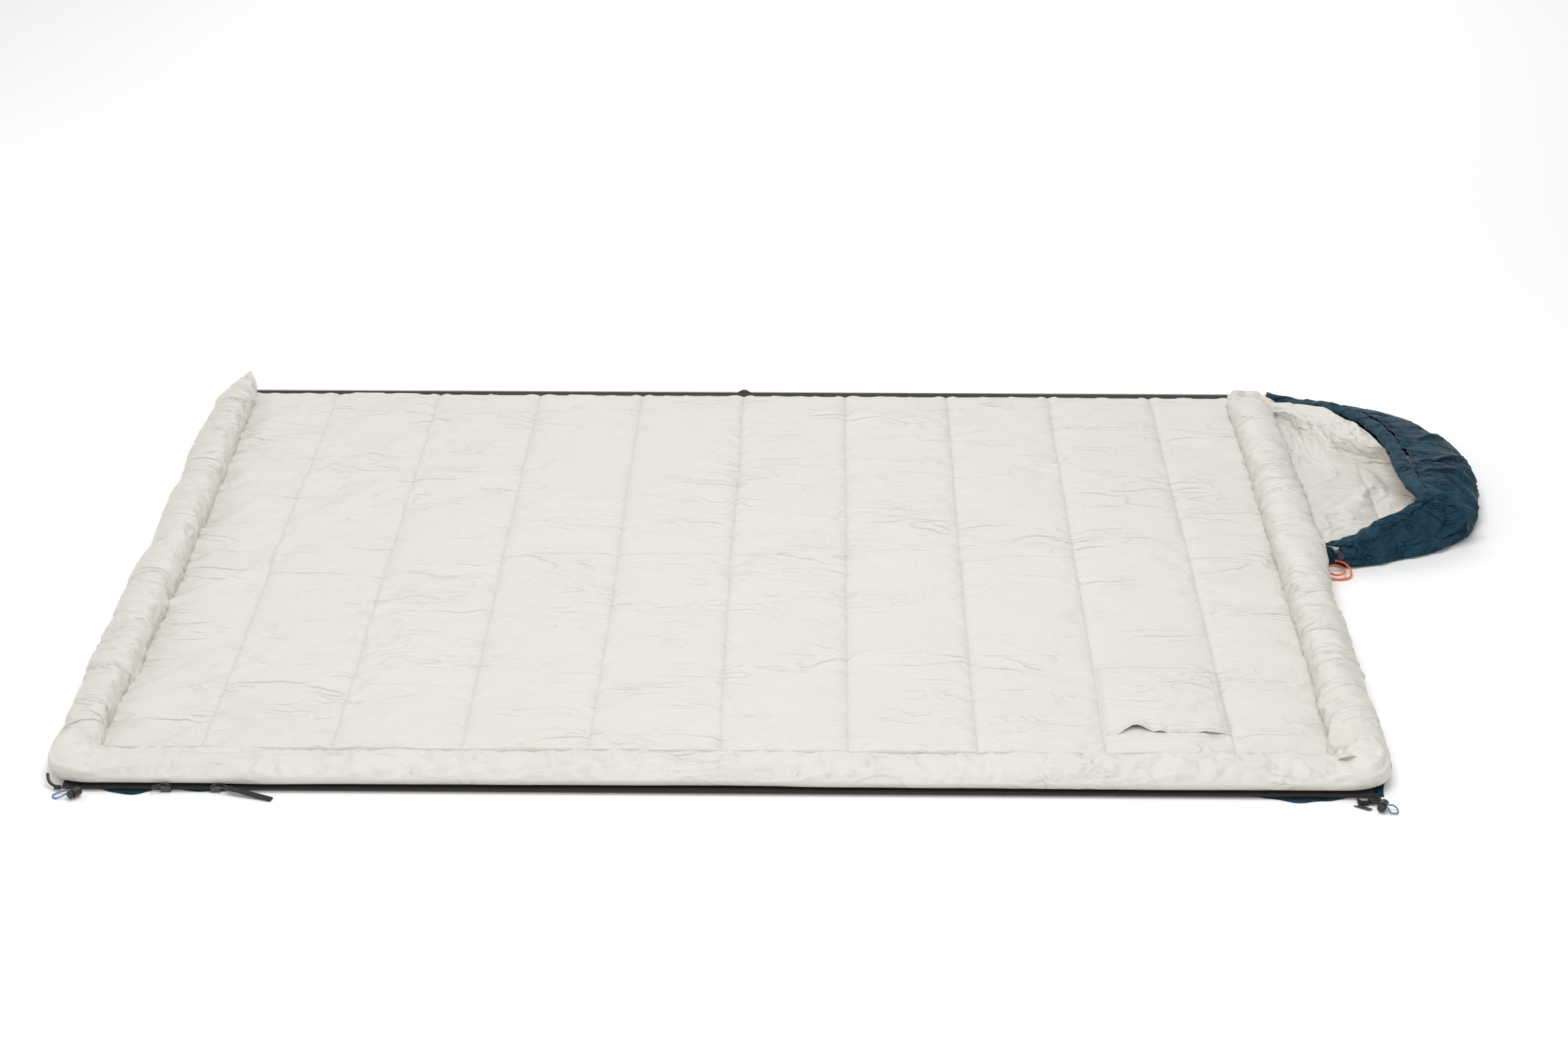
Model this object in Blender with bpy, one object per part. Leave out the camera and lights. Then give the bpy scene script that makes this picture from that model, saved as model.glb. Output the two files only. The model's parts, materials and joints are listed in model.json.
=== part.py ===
"""Hooded camp quilt: a rectangular sleeping bag unzipped and laid open flat, lining up.

Frame: X runs from the foot end (-X) to the head end (+X), Y from the near zip edge (-Y)
to the far zip edge (+Y), Z is up and z = 0 is the ground under the shell fabric.
"""

import math

import bmesh
import bpy
from mathutils import Vector

# Driving sizes, in metres ------------------------------------------------------------
LENGTH = 1.875           # foot roll outside to head roll outside
HALF_WIDTH = 0.722       # centre fold to the cut edge of each half
FOLD_Y = -0.012          # centre fold line
FOLD_SLIT = 0.0010       # half of the space between the two halves at the fold
FOLD_AXIS_RISE = 0.008   # the fold turns this far over the tops of the rolls
GAP = 0.0003             # between touching pieces

FABRIC = 0.002           # shell and lining, with their seam allowances
BAFFLE_PITCH = 0.182     # between the cross seams
SEAM_RISE = 0.011        # height of the filling under a seam, over the shell
PUFF_RISE = 0.012        # how much the filling swells between two seams
SKIRT = 0.004            # width of the lining's turned down edge
SWELL_POWER = 0.6        # below 1 the swell between two seams is flat on top
EDGE_LIFT = 0.62         # share of the filling's height right at a sewn side
EDGE_RUN = 0.05          # the filling has its full height this far from a sewn side
PANEL_STEPS = 4          # facets of the lining between two seams
SHELL_IN = 0.006         # the shell ends this far inside the rolls' outer sides
FAR_LINING_IN = 0.002    # the lining ends this far inside the far edge
LINING_SHARES = (0.06, 0.3, 0.6, 0.9)
FILLING_SHARES = (0.0, 0.05, 0.3, 0.6, 0.95, 1.0)

ROLL_WIDTH = 0.068       # stuffed rolls along the foot and head ends
ROLL_HEIGHT = 0.050
ROLL_COVER = 0.0015
ROLL_SHIFT = 0.003       # the roll's filling leaves this much room for its drawcord
ROLL_GATHER = 0.10       # a roll's ends are this share slimmer than its middle
ROLL_SHARES = (0.0, 0.08, 0.35, 0.65, 0.92, 1.0)
ROLL_NEAR_PAST = 0.006   # the rolls run this far past the near edge
ROLL_FAR_IN = 0.004      # and end this far inside the far edge
FILLING_END = 0.004      # a filling ends this far inside its cover

ZIP_TUBE_WIDTH = 0.078   # stuffed tube behind the zip
ZIP_TUBE_HEIGHT = 0.034
ZIP_TUBE_PROUD = 0.010   # how far the tube stands over the shell's cut edge
ZIP_TUBE_GATHER = 0.12
ZIP_TUBE_SHARES = (0.0, 0.04, 0.5, 0.96, 1.0)

TAPE_WIDTH = 0.032
TAPE_THICK = 0.0015
TAPE_PROUD = 0.018       # tape showing past the shell's cut edge
TAPE_RISE = 0.0014       # room under the tape for the lower wall of a slider
COIL_D = 0.0044          # zip coil
ZIP_END = 0.030          # zip stops this far from each end of the quilt
STOP_LENGTH = 0.004
BOX_LENGTH = 0.010       # retainer box
BOX_PROUD = 0.0010       # how far the box stands over the coil
PIN_LENGTH = 0.014       # insertion pin
PIN_SLIM = 0.7           # its radius as a share of the coil's
EDGE_TAB = ((-0.011, 0.0), (0.011, 0.0), (0.003, 0.011), (-0.003, 0.011))
EDGE_TAB_THICK = 0.0018
EDGE_TAB_RISE = 0.0006   # over the tape's lower side

SLIDER_LENGTH = 0.014
SLIDER_WALL = 0.0012
SLIDER_CLEAR = 0.0004
LOWER_SLIDER_X = -0.762
UPPER_SLIDER_X = -0.693
BRIDGE_ROOM = 0.0010     # room for the pull's bar to swing under the slider's bridge
BRIDGE_WIDTH = 0.0022
BRIDGE_REACH = 0.0042    # half of the bridge's length
BRIDGE_WALL = 0.0011
BRIDGE_ROOF = 0.0010
MELT = 0.0004            # two solids that are melted into one overlap by this much
PULL_YAW = math.radians(17.0)
PIN_LEAD = 0.0012        # the pull hangs this far off the bridge's middle
PULL_WIDTH = 0.0068
PULL_BAR = 0.0014
PULL_LENGTH = 0.0175
PULL_CLEAR = 0.0009      # a pull lies this far over the coil
TAB_LENGTH = 0.064
TAB_WIDTH = 0.0095
TAB_THICK = 0.0020

POCKET_X = 0.638         # stash pocket, middle of its mouth
POCKET_MOUTH_IN = 0.0537 # from the near border seam to the mouth
POCKET_WIDTH = 0.185
POCKET_DEPTH = 0.212
POCKET_RISE = 0.0058     # clear height of the mouth
POCKET_SEAM = 0.007
POCKET_CLOTH = 0.0015

HOOD_WIDTH = 0.690
HOOD_DEPTH = 0.312
HOOD_HEIGHT = 0.085
HOOD_END_HEIGHT = 0.038
HOOD_FILL = 0.0100
HOOD_CLOTH = 0.0025
HOOD_END_SHARE = 0.19    # reach of the hood's two ends, as a share of its depth
HOOD_ROUND = 2.5         # above 2 the outline is squarer than an ellipse
HOOD_LOW_POWER = 3       # the crown stays high along its middle and drops at its ends
MOUTH_NEAR = 0.10        # reach of the mouth at its ends and at its fullest, in depths
MOUTH_FULL = 0.54
MOUTH_CORNER = 0.26      # where the mouth is fullest, as a share of the hood's width
MOUTH_CLIMB = 0.8
MOUTH_FALL = 3
RIM_OVERHANG = 0.004     # the crown always comes back over the turn by this much
HOOD_STATIONS = (-1.0, -0.94, -0.84, -0.7, -0.52, -0.3, -0.08, 0.16, 0.4, 0.6, 0.76, 0.88, 0.96, 1.0)
HOOD_Y = 0.345           # middle of the hood's seam
HOOD_SEAM_GAP = 0.0030   # between the head roll and the hood's floor
HOOD_AXIS_Z = 0.020
HOOD_Z = 0.0005          # the hood's floor over the ground
RIM_RADIUS = 0.0085      # drawcord channel along the hood's mouth
RIM_CLOTH = 0.0012
RIM_CORNER_ROOM = 1.15   # the channel keeps clear of the crown's edge where the rim bends

CORD_D = 0.0022          # drawcords
PULL_CORD_D = 0.0032     # hood's pull cord
LOCK_D = 0.0125          # cord locks
LOCK_LENGTH = 0.0130
LOCK_WALL = 0.0012
BUTTON_D = 0.0118
BUTTON_TRAVEL = 0.0030
BUTTON_HEAD = 0.0030
BUTTON_DOME = 0.72       # the head's top as a share of its width
LOCK_EDGE = 0.0008       # rounding of the barrel's floor
STEM_DEPTH = 0.45        # the stem's lower end, as a share of the barrel's length
SPRING_WIRE = 0.0005     # half of the wire's thickness
SPRING_TURNS = 2.5
SPRING_STEPS = 10        # facets in a turn

WEBBING_WIDTH = 0.0080
WEBBING_THICK = 0.0013
CORNER_IN = 0.047        # the head corner's loop sits this far inside the head end
LOOP_HALF = 0.0080       # half width of the webbing loop
LOOP_REACH = 0.0165
BUCKLE_LOW = (0.0090, -0.0150, 0.0012)   # the ladder buckle's two corners from the loop's root
BUCKLE_TOP = (0.0250, -0.0012, 0.0060)
BUCKLE_BAR = 0.0030      # width of its end bars
BUCKLE_SLOT = 0.0016     # half width of its slots
BUCKLE_SLOTS = (0.30, 0.70)
STRAP = ((-0.0150, -0.0178), (0.0040, -0.0300), (0.0095, -0.0265), (-0.0040, -0.0173))

# Where the three cord locks stand: how far in from the quilt's end, past the coil's side
# and over the ground, and which way their buttons point.
LOCK_RISE = 0.0010
FOOT_LOCK_IN = 0.058
FOOT_LOCK_OUT = 0.0102
FOOT_LOCK_AXIS = (-0.6, -0.8, 0.0)
HEAD_LOCK_IN = 0.0200
HEAD_LOCK_OUT = 0.0200
HEAD_LOCK_AXIS = (-0.42, -0.9075, 0.0)
HOOD_LOCK_FROM_SEAM = (0.0270, -0.0035, 0.0270)
HOOD_LOCK_AXIS = (0.10, -0.97, 0.20)

# Routes of the free cords, as steps from where they leave their locks. The last two of a
# loop that comes back are steps from where it goes in again.
FOOT_LOOP_OUT = 0.0040   # along the lock, where the loop leaves and comes back
FOOT_LOOP_BACK = 0.0100
FOOT_LOOP = (
    (-0.0120, 0.0020, -0.0030), (-0.0240, -0.0030, -0.0058),
    (-0.0285, -0.0085, -0.0060), (-0.0230, -0.0125, -0.0060),
)
FOOT_LOOP_RETURN = (-0.0100, -0.0035, -0.0035)
HEAD_LOOP_OUT = 0.0035
HEAD_LOOP_BACK = 0.0110
HEAD_LOOP = ((0.0060, 0.0015, -0.0015), (0.0110, -0.0045, -0.0045), (0.0085, -0.0125, -0.0058))
HEAD_LOOP_RETURN = (0.0030, -0.0060, -0.0045)
PULL_CORD_FROM_SEAM = (0.0225, -0.0080, 0.0180)
PULL_CORD = (
    (0.0130, -0.0040, -0.0020), (0.0230, -0.0140, -0.0090), (0.0210, -0.0290, -0.0150),
    (0.0060, -0.0370, -0.0160), (-0.0110, -0.0330, -0.0160), (-0.0175, -0.0170, -0.0150),
    (-0.0120, -0.0030, -0.0100), (0.0040, -0.0030, -0.0075), (0.0130, -0.0130, -0.0095),
    (0.0115, -0.0250, -0.0110), (-0.0010, -0.0310, -0.0115), (-0.0100, -0.0250, -0.0110),
)

ROUND = 14               # sides of a small turned piece

# Worked out from the driving sizes -----------------------------------------------------
HALF_LENGTH = LENGTH / 2
NEAR_EDGE = FOLD_Y - HALF_WIDTH
FAR_EDGE = FOLD_Y + HALF_WIDTH
NEAR_SIDE = FOLD_Y - FOLD_SLIT
FAR_SIDE = FOLD_Y + FOLD_SLIT
SHELL_X = HALF_LENGTH - SHELL_IN
BODY_X = HALF_LENGTH - ROLL_WIDTH - GAP
TAPE_Z = FABRIC + GAP + TAPE_RISE
COIL_Z = TAPE_Z + TAPE_THICK / 2
FILL_Z = TAPE_Z + TAPE_THICK + GAP      # everything stuffed lies over the tape
ROLL_Z = FILL_Z + ROLL_HEIGHT / 2
FOLD_AXIS_Z = FILL_Z + ROLL_HEIGHT + FOLD_AXIS_RISE
NEAR_COIL_Y = NEAR_EDGE - TAPE_PROUD - GAP - COIL_D / 2
FAR_COIL_Y = FAR_EDGE + TAPE_PROUD + GAP + COIL_D / 2
ZIP_TUBE_Y = NEAR_EDGE - ZIP_TUBE_PROUD + ZIP_TUBE_WIDTH / 2
ZIP_TUBE_Z = FILL_Z + ZIP_TUBE_HEIGHT / 2
NEAR_LINING_Y = ZIP_TUBE_Y + ZIP_TUBE_WIDTH / 2 + GAP
POCKET_MOUTH_Y = NEAR_LINING_Y + POCKET_MOUTH_IN
LINING_TOP = FILL_Z + SEAM_RISE + PUFF_RISE + GAP + FABRIC
HOOD_X = HALF_LENGTH + HOOD_SEAM_GAP
SLIDER_Z = COIL_Z

COLOURS = {
    "lining": ((0.80, 0.77, 0.70, 1.0), 0.55, 0.0),
    "shell": ((0.020, 0.075, 0.140, 1.0), 0.50, 0.0),
    "filling": ((0.92, 0.92, 0.90, 1.0), 0.90, 0.0),
    "tape": ((0.018, 0.017, 0.016, 1.0), 0.80, 0.0),
    "coil": ((0.035, 0.028, 0.022, 1.0), 0.40, 0.0),
    "hardware": ((0.016, 0.016, 0.017, 1.0), 0.35, 0.0),
    "black_metal": ((0.06, 0.06, 0.06, 1.0), 0.30, 1.0),
    "spring_steel": ((0.55, 0.55, 0.56, 1.0), 0.30, 1.0),
    "blue_cord": ((0.10, 0.24, 0.42, 1.0), 0.60, 0.0),
    "orange_cord": ((1.00, 0.16, 0.03, 1.0), 0.55, 0.0),
    "strap": ((0.05, 0.055, 0.06, 1.0), 0.45, 0.0),
}


# Scene and naming --------------------------------------------------------------------
def clear_scene():
    for thing in list(bpy.data.objects):
        bpy.data.objects.remove(thing, do_unlink=True)


def finish_material(slot, name):
    """One Principled material for each piece, from the slot's colour, roughness and metallic."""
    colour, rough, metal = COLOURS[slot]
    material = bpy.data.materials.new(name + "_" + slot)
    material.use_nodes = True
    shader = material.node_tree.nodes["Principled BSDF"]
    shader.inputs["Base Color"].default_value = colour
    shader.inputs["Roughness"].default_value = rough
    shader.inputs["Metallic"].default_value = metal
    material.diffuse_color = colour
    return material


def pivot(name, place, parent=None):
    """An empty on a joint's axis; the pieces of that moving body hang from it."""
    empty = bpy.data.objects.new(name, None)
    bpy.context.scene.collection.objects.link(empty)
    empty.location = Vector(place)
    empty["world"] = tuple(place)
    if parent:
        empty.parent = parent
        empty.location = Vector(place) - Vector(parent["world"])
    return empty


def place_object(name, data, slot, parent):
    thing = bpy.data.objects.new(name, data)
    bpy.context.scene.collection.objects.link(thing)
    data.materials.append(finish_material(slot, name))
    if parent:
        thing.parent = parent
        thing.location = -Vector(parent["world"])
    return thing


def piece_from_bmesh(name, bm, slot, parent=None, smooth_angle=35.0):
    bmesh.ops.remove_doubles(bm, verts=bm.verts, dist=1e-6)
    bmesh.ops.recalc_face_normals(bm, faces=bm.faces)
    mesh = bpy.data.meshes.new(name)
    bm.to_mesh(mesh)
    bm.free()
    mesh.shade_smooth()
    mesh.set_sharp_from_angle(angle=math.radians(smooth_angle))
    return place_object(name, mesh, slot, parent)


# Shape helpers -----------------------------------------------------------------------
def skin(name, rings, slot, parent=None, caps=True, loop=False):
    """A closed body over a row of rings of points: capped at both ends, or joined in a loop."""
    bm = bmesh.new()
    rows = [[bm.verts.new(point) for point in ring] for ring in rings]
    pairs = list(zip(rows, rows[1:]))
    if loop:
        pairs.append((rows[-1], rows[0]))
    for low, high in pairs:
        for i in range(len(low)):
            j = (i + 1) % len(low)
            bm.faces.new((low[i], low[j], high[j], high[i]))
    if caps and not loop:
        bm.faces.new(rows[0])
        bm.faces.new(rows[-1])
    return piece_from_bmesh(name, bm, slot, parent)


def sheet(name, outer, inner, slot, parent=None):
    """A thick cloth between two grids of points of the same size, closed round its four edges."""
    bm = bmesh.new()
    top = [[bm.verts.new(point) for point in row] for row in outer]
    low = [[bm.verts.new(point) for point in row] for row in inner]
    rows, columns = len(top), len(top[0])
    for i in range(rows - 1):
        for j in range(columns - 1):
            bm.faces.new((top[i][j], top[i][j + 1], top[i + 1][j + 1], top[i + 1][j]))
            bm.faces.new((low[i][j], low[i + 1][j], low[i + 1][j + 1], low[i][j + 1]))
    for i in range(rows - 1):
        for j in (0, columns - 1):
            bm.faces.new((top[i][j], top[i + 1][j], low[i + 1][j], low[i][j]))
    for j in range(columns - 1):
        for i in (0, rows - 1):
            bm.faces.new((top[i][j], top[i][j + 1], low[i][j + 1], low[i][j]))
    return piece_from_bmesh(name, bm, slot, parent)


def block(name, low, high, slot, parent=None, bevel=0.0):
    """A box from its lowest to its highest corner, with bevelled edges where asked."""
    bm = bmesh.new()
    bmesh.ops.create_cube(bm, size=1.0)
    low, high = Vector(low), Vector(high)
    size = high - low
    for vert in bm.verts:
        vert.co = (low + high) / 2 + Vector(a * b for a, b in zip(vert.co, size))
    if bevel:
        bmesh.ops.bevel(bm, geom=bm.edges[:], offset=bevel, segments=1, affect="EDGES")
    return piece_from_bmesh(name, bm, slot, parent)


def extruded(name, outline, along, length, slot, parent=None):
    """A flat outline of points pushed along a direction, half of the length each way."""
    bm = bmesh.new()
    along = Vector(along).normalized()
    verts = [bm.verts.new(Vector(point) - along * length / 2) for point in outline]
    face = bm.faces.new(verts)
    grown = bmesh.ops.extrude_face_region(bm, geom=[face])
    moved = [item for item in grown["geom"] if isinstance(item, bmesh.types.BMVert)]
    bmesh.ops.translate(bm, verts=moved, vec=along * length)
    return piece_from_bmesh(name, bm, slot, parent)


def frame_of(axis):
    """Two unit vectors square to the axis and to each other."""
    axis = Vector(axis).normalized()
    side = axis.orthogonal().normalized()
    return side, axis.cross(side)


def circle(centre, axis, radius, sides=ROUND):
    side, up = frame_of(axis)
    turns = [2 * math.pi * k / sides for k in range(sides)]
    return [Vector(centre) + (side * math.cos(a) + up * math.sin(a)) * radius for a in turns]


def turned(name, base, axis, profile, slot, parent=None):
    """A turned piece: the profile's (radius, height) steps, from its first cap to its last."""
    axis = Vector(axis).normalized()
    rings = [circle(Vector(base) + axis * height, axis, radius) for radius, height in profile]
    return skin(name, rings, slot, parent)


def smooth_route(points, step):
    """Points about a step apart on the smooth curve (Catmull-Rom) through the route's points."""
    route = [Vector(point) for point in points]
    out = []
    for i in range(len(route) - 1):
        before = route[i - 1] if i else route[0] * 2 - route[1]
        after = route[i + 2] if i + 2 < len(route) else route[-1] * 2 - route[-2]
        a, b = route[i], route[i + 1]
        count = max(1, round((b - a).length / step))
        for k in range(count):
            t = k / count
            out.append(
                0.5 * (2 * a + (b - before) * t + (2 * before - 5 * a + 4 * b - after) * t * t
                       + (3 * a - before - 3 * b + after) * t ** 3)
            )
    out.append(route[-1])
    return out


def cord(name, points, diameter, slot, parent=None):
    """A cord: a filled-in curve with a round bevel along a smooth route."""
    route = smooth_route(points, 2.5 * diameter)
    curve = bpy.data.curves.new(name, "CURVE")
    curve.dimensions = "3D"
    curve.bevel_depth = diameter / 2
    curve.bevel_resolution = 2
    curve.use_fill_caps = True
    spline = curve.splines.new("POLY")
    spline.points.add(len(route) - 1)
    for spot, point in zip(spline.points, route):
        spot.co = (*point, 1.0)
    return place_object(name, curve, slot, parent)


def join_shape(target, tool):
    """Melts a second solid into the first; the second stays only as a hidden tool."""
    tool.hide_render = True
    tool.display_type = "WIRE"
    union = target.modifiers.new("join_" + tool.name, "BOOLEAN")
    union.operation = "UNION"
    union.object = tool


def cut_shape(target, tool):
    """Cuts the second solid out of the first; the second stays only as a hidden tool."""
    tool.hide_render = True
    tool.display_type = "WIRE"
    cut = target.modifiers.new("cut_" + tool.name, "BOOLEAN")
    cut.operation = "DIFFERENCE"
    cut.object = tool


# Quilted panel -----------------------------------------------------------------------
def baffle_places(start, end, steps):
    """Places along X: every seam, and evenly spaced places between two seams."""
    seams = [k * BAFFLE_PITCH for k in range(-60, 61) if start < k * BAFFLE_PITCH < end]
    edges = [start] + [s for s in seams if s - start > SKIRT * 3 and end - s > SKIRT * 3] + [end]
    places = []
    for a, b in zip(edges, edges[1:]):
        places += [a + (b - a) * k / steps for k in range(steps)]
    return edges, places + [end]


def swell(x, edges):
    """0 on a seam and 1 midway between two seams."""
    for a, b in zip(edges, edges[1:]):
        if a <= x <= b:
            return max(0.0, math.sin(math.pi * (x - a) / (b - a))) ** SWELL_POWER
    return 0.0


def side_lift(distance):
    """How far the quilt has risen at a distance from its sewn side: 0 at the edge."""
    if distance <= 0:
        return 0.0
    return EDGE_LIFT + (1 - EDGE_LIFT) * math.sqrt(min(1.0, distance / EDGE_RUN))


def quilt_half(prefix, y0, y1, parent):
    """Shell, filling and lining of one half, between the rolls and between two edges in Y."""
    shell_y = (min(y0, NEAR_EDGE), y1) if parent else (y0, FAR_EDGE)
    block(
        prefix + "_shell",
        (-SHELL_X, shell_y[0], 0.0),
        (SHELL_X, shell_y[1], FABRIC),
        "shell",
        parent,
    )
    inset = SKIRT + GAP

    def top(x, y, edges, clear):
        lift = min(side_lift(y - y0), side_lift(y1 - y))
        rise = (SEAM_RISE + PUFF_RISE * swell(x, edges)) * lift
        return FILL_Z + GAP + rise + clear

    edges, xs = baffle_places(-BODY_X, BODY_X, PANEL_STEPS)
    xs = [xs[0], xs[0] + SKIRT, *xs[1:-1], xs[-1] - SKIRT, xs[-1]]
    width = y1 - y0
    ys = [y0, y0 + SKIRT, *[y0 + width * s for s in LINING_SHARES], y1 - SKIRT, y1]
    cloth = [[(x, y, top(x, y, edges, FABRIC)) for y in ys] for x in xs]
    under = [[(x, y, z - FABRIC) for x, y, z in row] for row in cloth]
    sheet(prefix + "_lining", cloth, under, "lining", parent)

    in_xs = [min(max(x, xs[0] + inset), xs[-1] - inset) for x in xs[1:-1]]
    in_ys = [y0 + inset + (width - 2 * inset) * s for s in FILLING_SHARES]
    upper = [[(x, y, fill_top(cloth, xs, ys, x, y) - FABRIC - GAP) for y in in_ys] for x in in_xs]
    lower = [[(x, y, FILL_Z) for x, y, z in row] for row in upper]
    sheet(prefix + "_insulation", upper, lower, "filling", parent)


def fill_top(cloth, xs, ys, x, y):
    """The lining's height over (x, y): the lowest corner of the cell that holds it."""
    i = max(0, min(len(xs) - 2, sum(1 for value in xs if value < x - 1e-9) - 1))
    j = max(0, min(len(ys) - 2, sum(1 for value in ys if value < y - 1e-9) - 1))
    return min(cloth[a][b][2] for a in (i, i + 1) for b in (j, j + 1))


# Stuffed rolls -----------------------------------------------------------------------
def oval(x, y, z, half_x, half_z, sides=16):
    turns = [2 * math.pi * k / sides for k in range(sides)]
    return [(x + half_x * math.cos(a), y, z + half_z * math.sin(a)) for a in turns]


def gather(share):
    """A roll is a little slimmer at its two gathered ends."""
    return 1.0 - ROLL_GATHER * (2 * share - 1) ** 4


def roll_rings(x, z, y0, y1, half_x, half_z, trim=0.0):
    rings = []
    for share in ROLL_SHARES:
        size = gather(share)
        y = y0 + (y1 - y0) * share
        rings.append(oval(x, y, z, half_x * size - trim, half_z * size - trim))
    return rings


def end_roll(end, side, y0, y1, parent):
    """The stuffed roll of one end on one half: an open-ended cover with its filling."""
    sign = -1 if end == "foot" else 1
    x = sign * (HALF_LENGTH - ROLL_WIDTH / 2)
    outer = roll_rings(x, ROLL_Z, y0, y1, ROLL_WIDTH / 2, ROLL_HEIGHT / 2)
    inner = roll_rings(x, ROLL_Z, y0, y1, ROLL_WIDTH / 2, ROLL_HEIGHT / 2, ROLL_COVER)
    skin(end + "_roll_cover_" + side, outer + inner[::-1], "lining", parent, loop=True)
    trim = ROLL_COVER + GAP + ROLL_SHIFT
    low, high = y0 + FILLING_END, y1 - FILLING_END
    fill = roll_rings(x, ROLL_Z, low, high, ROLL_WIDTH / 2, ROLL_HEIGHT / 2, trim)
    shift = -sign * (ROLL_SHIFT - GAP)
    fill = [[(a + shift, b, c) for a, b, c in ring] for ring in fill]
    skin(end + "_roll_filling_" + side, fill, "filling", parent)


def roll_cord_x(end):
    """The drawcord lies in the room left between the filling and the cover's outer side."""
    sign = -1 if end == "foot" else 1
    slim = (1.0 - gather(0.0)) * ROLL_WIDTH / 2
    return sign * (HALF_LENGTH - ROLL_COVER - slim - GAP - CORD_D / 2)


def roll_drawcord(end, side, y0, y1, parent):
    x = roll_cord_x(end)
    route = [(x, y0 + (y1 - y0) * k / 4, ROLL_Z) for k in range(5)]
    rings = [circle(point, (0, 1, 0), CORD_D / 2, 8) for point in route]
    skin(end + "_drawcord_" + side, rings, "blue_cord", parent)


# Zip ---------------------------------------------------------------------------------
def zip_side(side, edge, coil_y, parent):
    """Woven tape under the quilt's edge and the coil along the tape's outer side."""
    out = -1 if side == "near" else 1
    low, high = sorted((edge + out * TAPE_PROUD, edge + out * (TAPE_PROUD - TAPE_WIDTH)))
    reach = HALF_LENGTH - ZIP_END
    block(
        "zip_tape_" + side,
        (-reach, low, TAPE_Z),
        (reach, high, TAPE_Z + TAPE_THICK),
        "tape",
        parent,
    )
    rings = [circle((x, coil_y, COIL_Z), (1, 0, 0), COIL_D / 2, 8) for x in (-reach, reach)]
    skin("zip_coil_" + side, rings, "coil", parent)


def zip_tube(parent):
    """The stuffed tube behind the near zip, between the two end rolls."""
    reach = BODY_X - GAP

    def rings(half_y, half_z, ends):
        row = []
        for share in ZIP_TUBE_SHARES:
            x = -reach + ends + 2 * (reach - ends) * share
            turns = [2 * math.pi * k / 14 for k in range(14)]
            size = 1.0 - ZIP_TUBE_GATHER * (2 * share - 1) ** 8
            row.append(
                [(x, ZIP_TUBE_Y + half_y * size * math.cos(a),
                  ZIP_TUBE_Z + half_z * size * math.sin(a)) for a in turns]
            )
        return row

    half_y, half_z = ZIP_TUBE_WIDTH / 2, ZIP_TUBE_HEIGHT / 2
    outer = rings(half_y, half_z, 0.0)
    inner = rings(half_y - ROLL_COVER, half_z - ROLL_COVER, 0.0)
    skin("zip_tube_cover", outer + inner[::-1], "lining", parent, loop=True)
    trim = ROLL_COVER + 2 * GAP
    skin("zip_tube_filling", rings(half_y - trim, half_z - trim, FILLING_END), "filling", parent)


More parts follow.
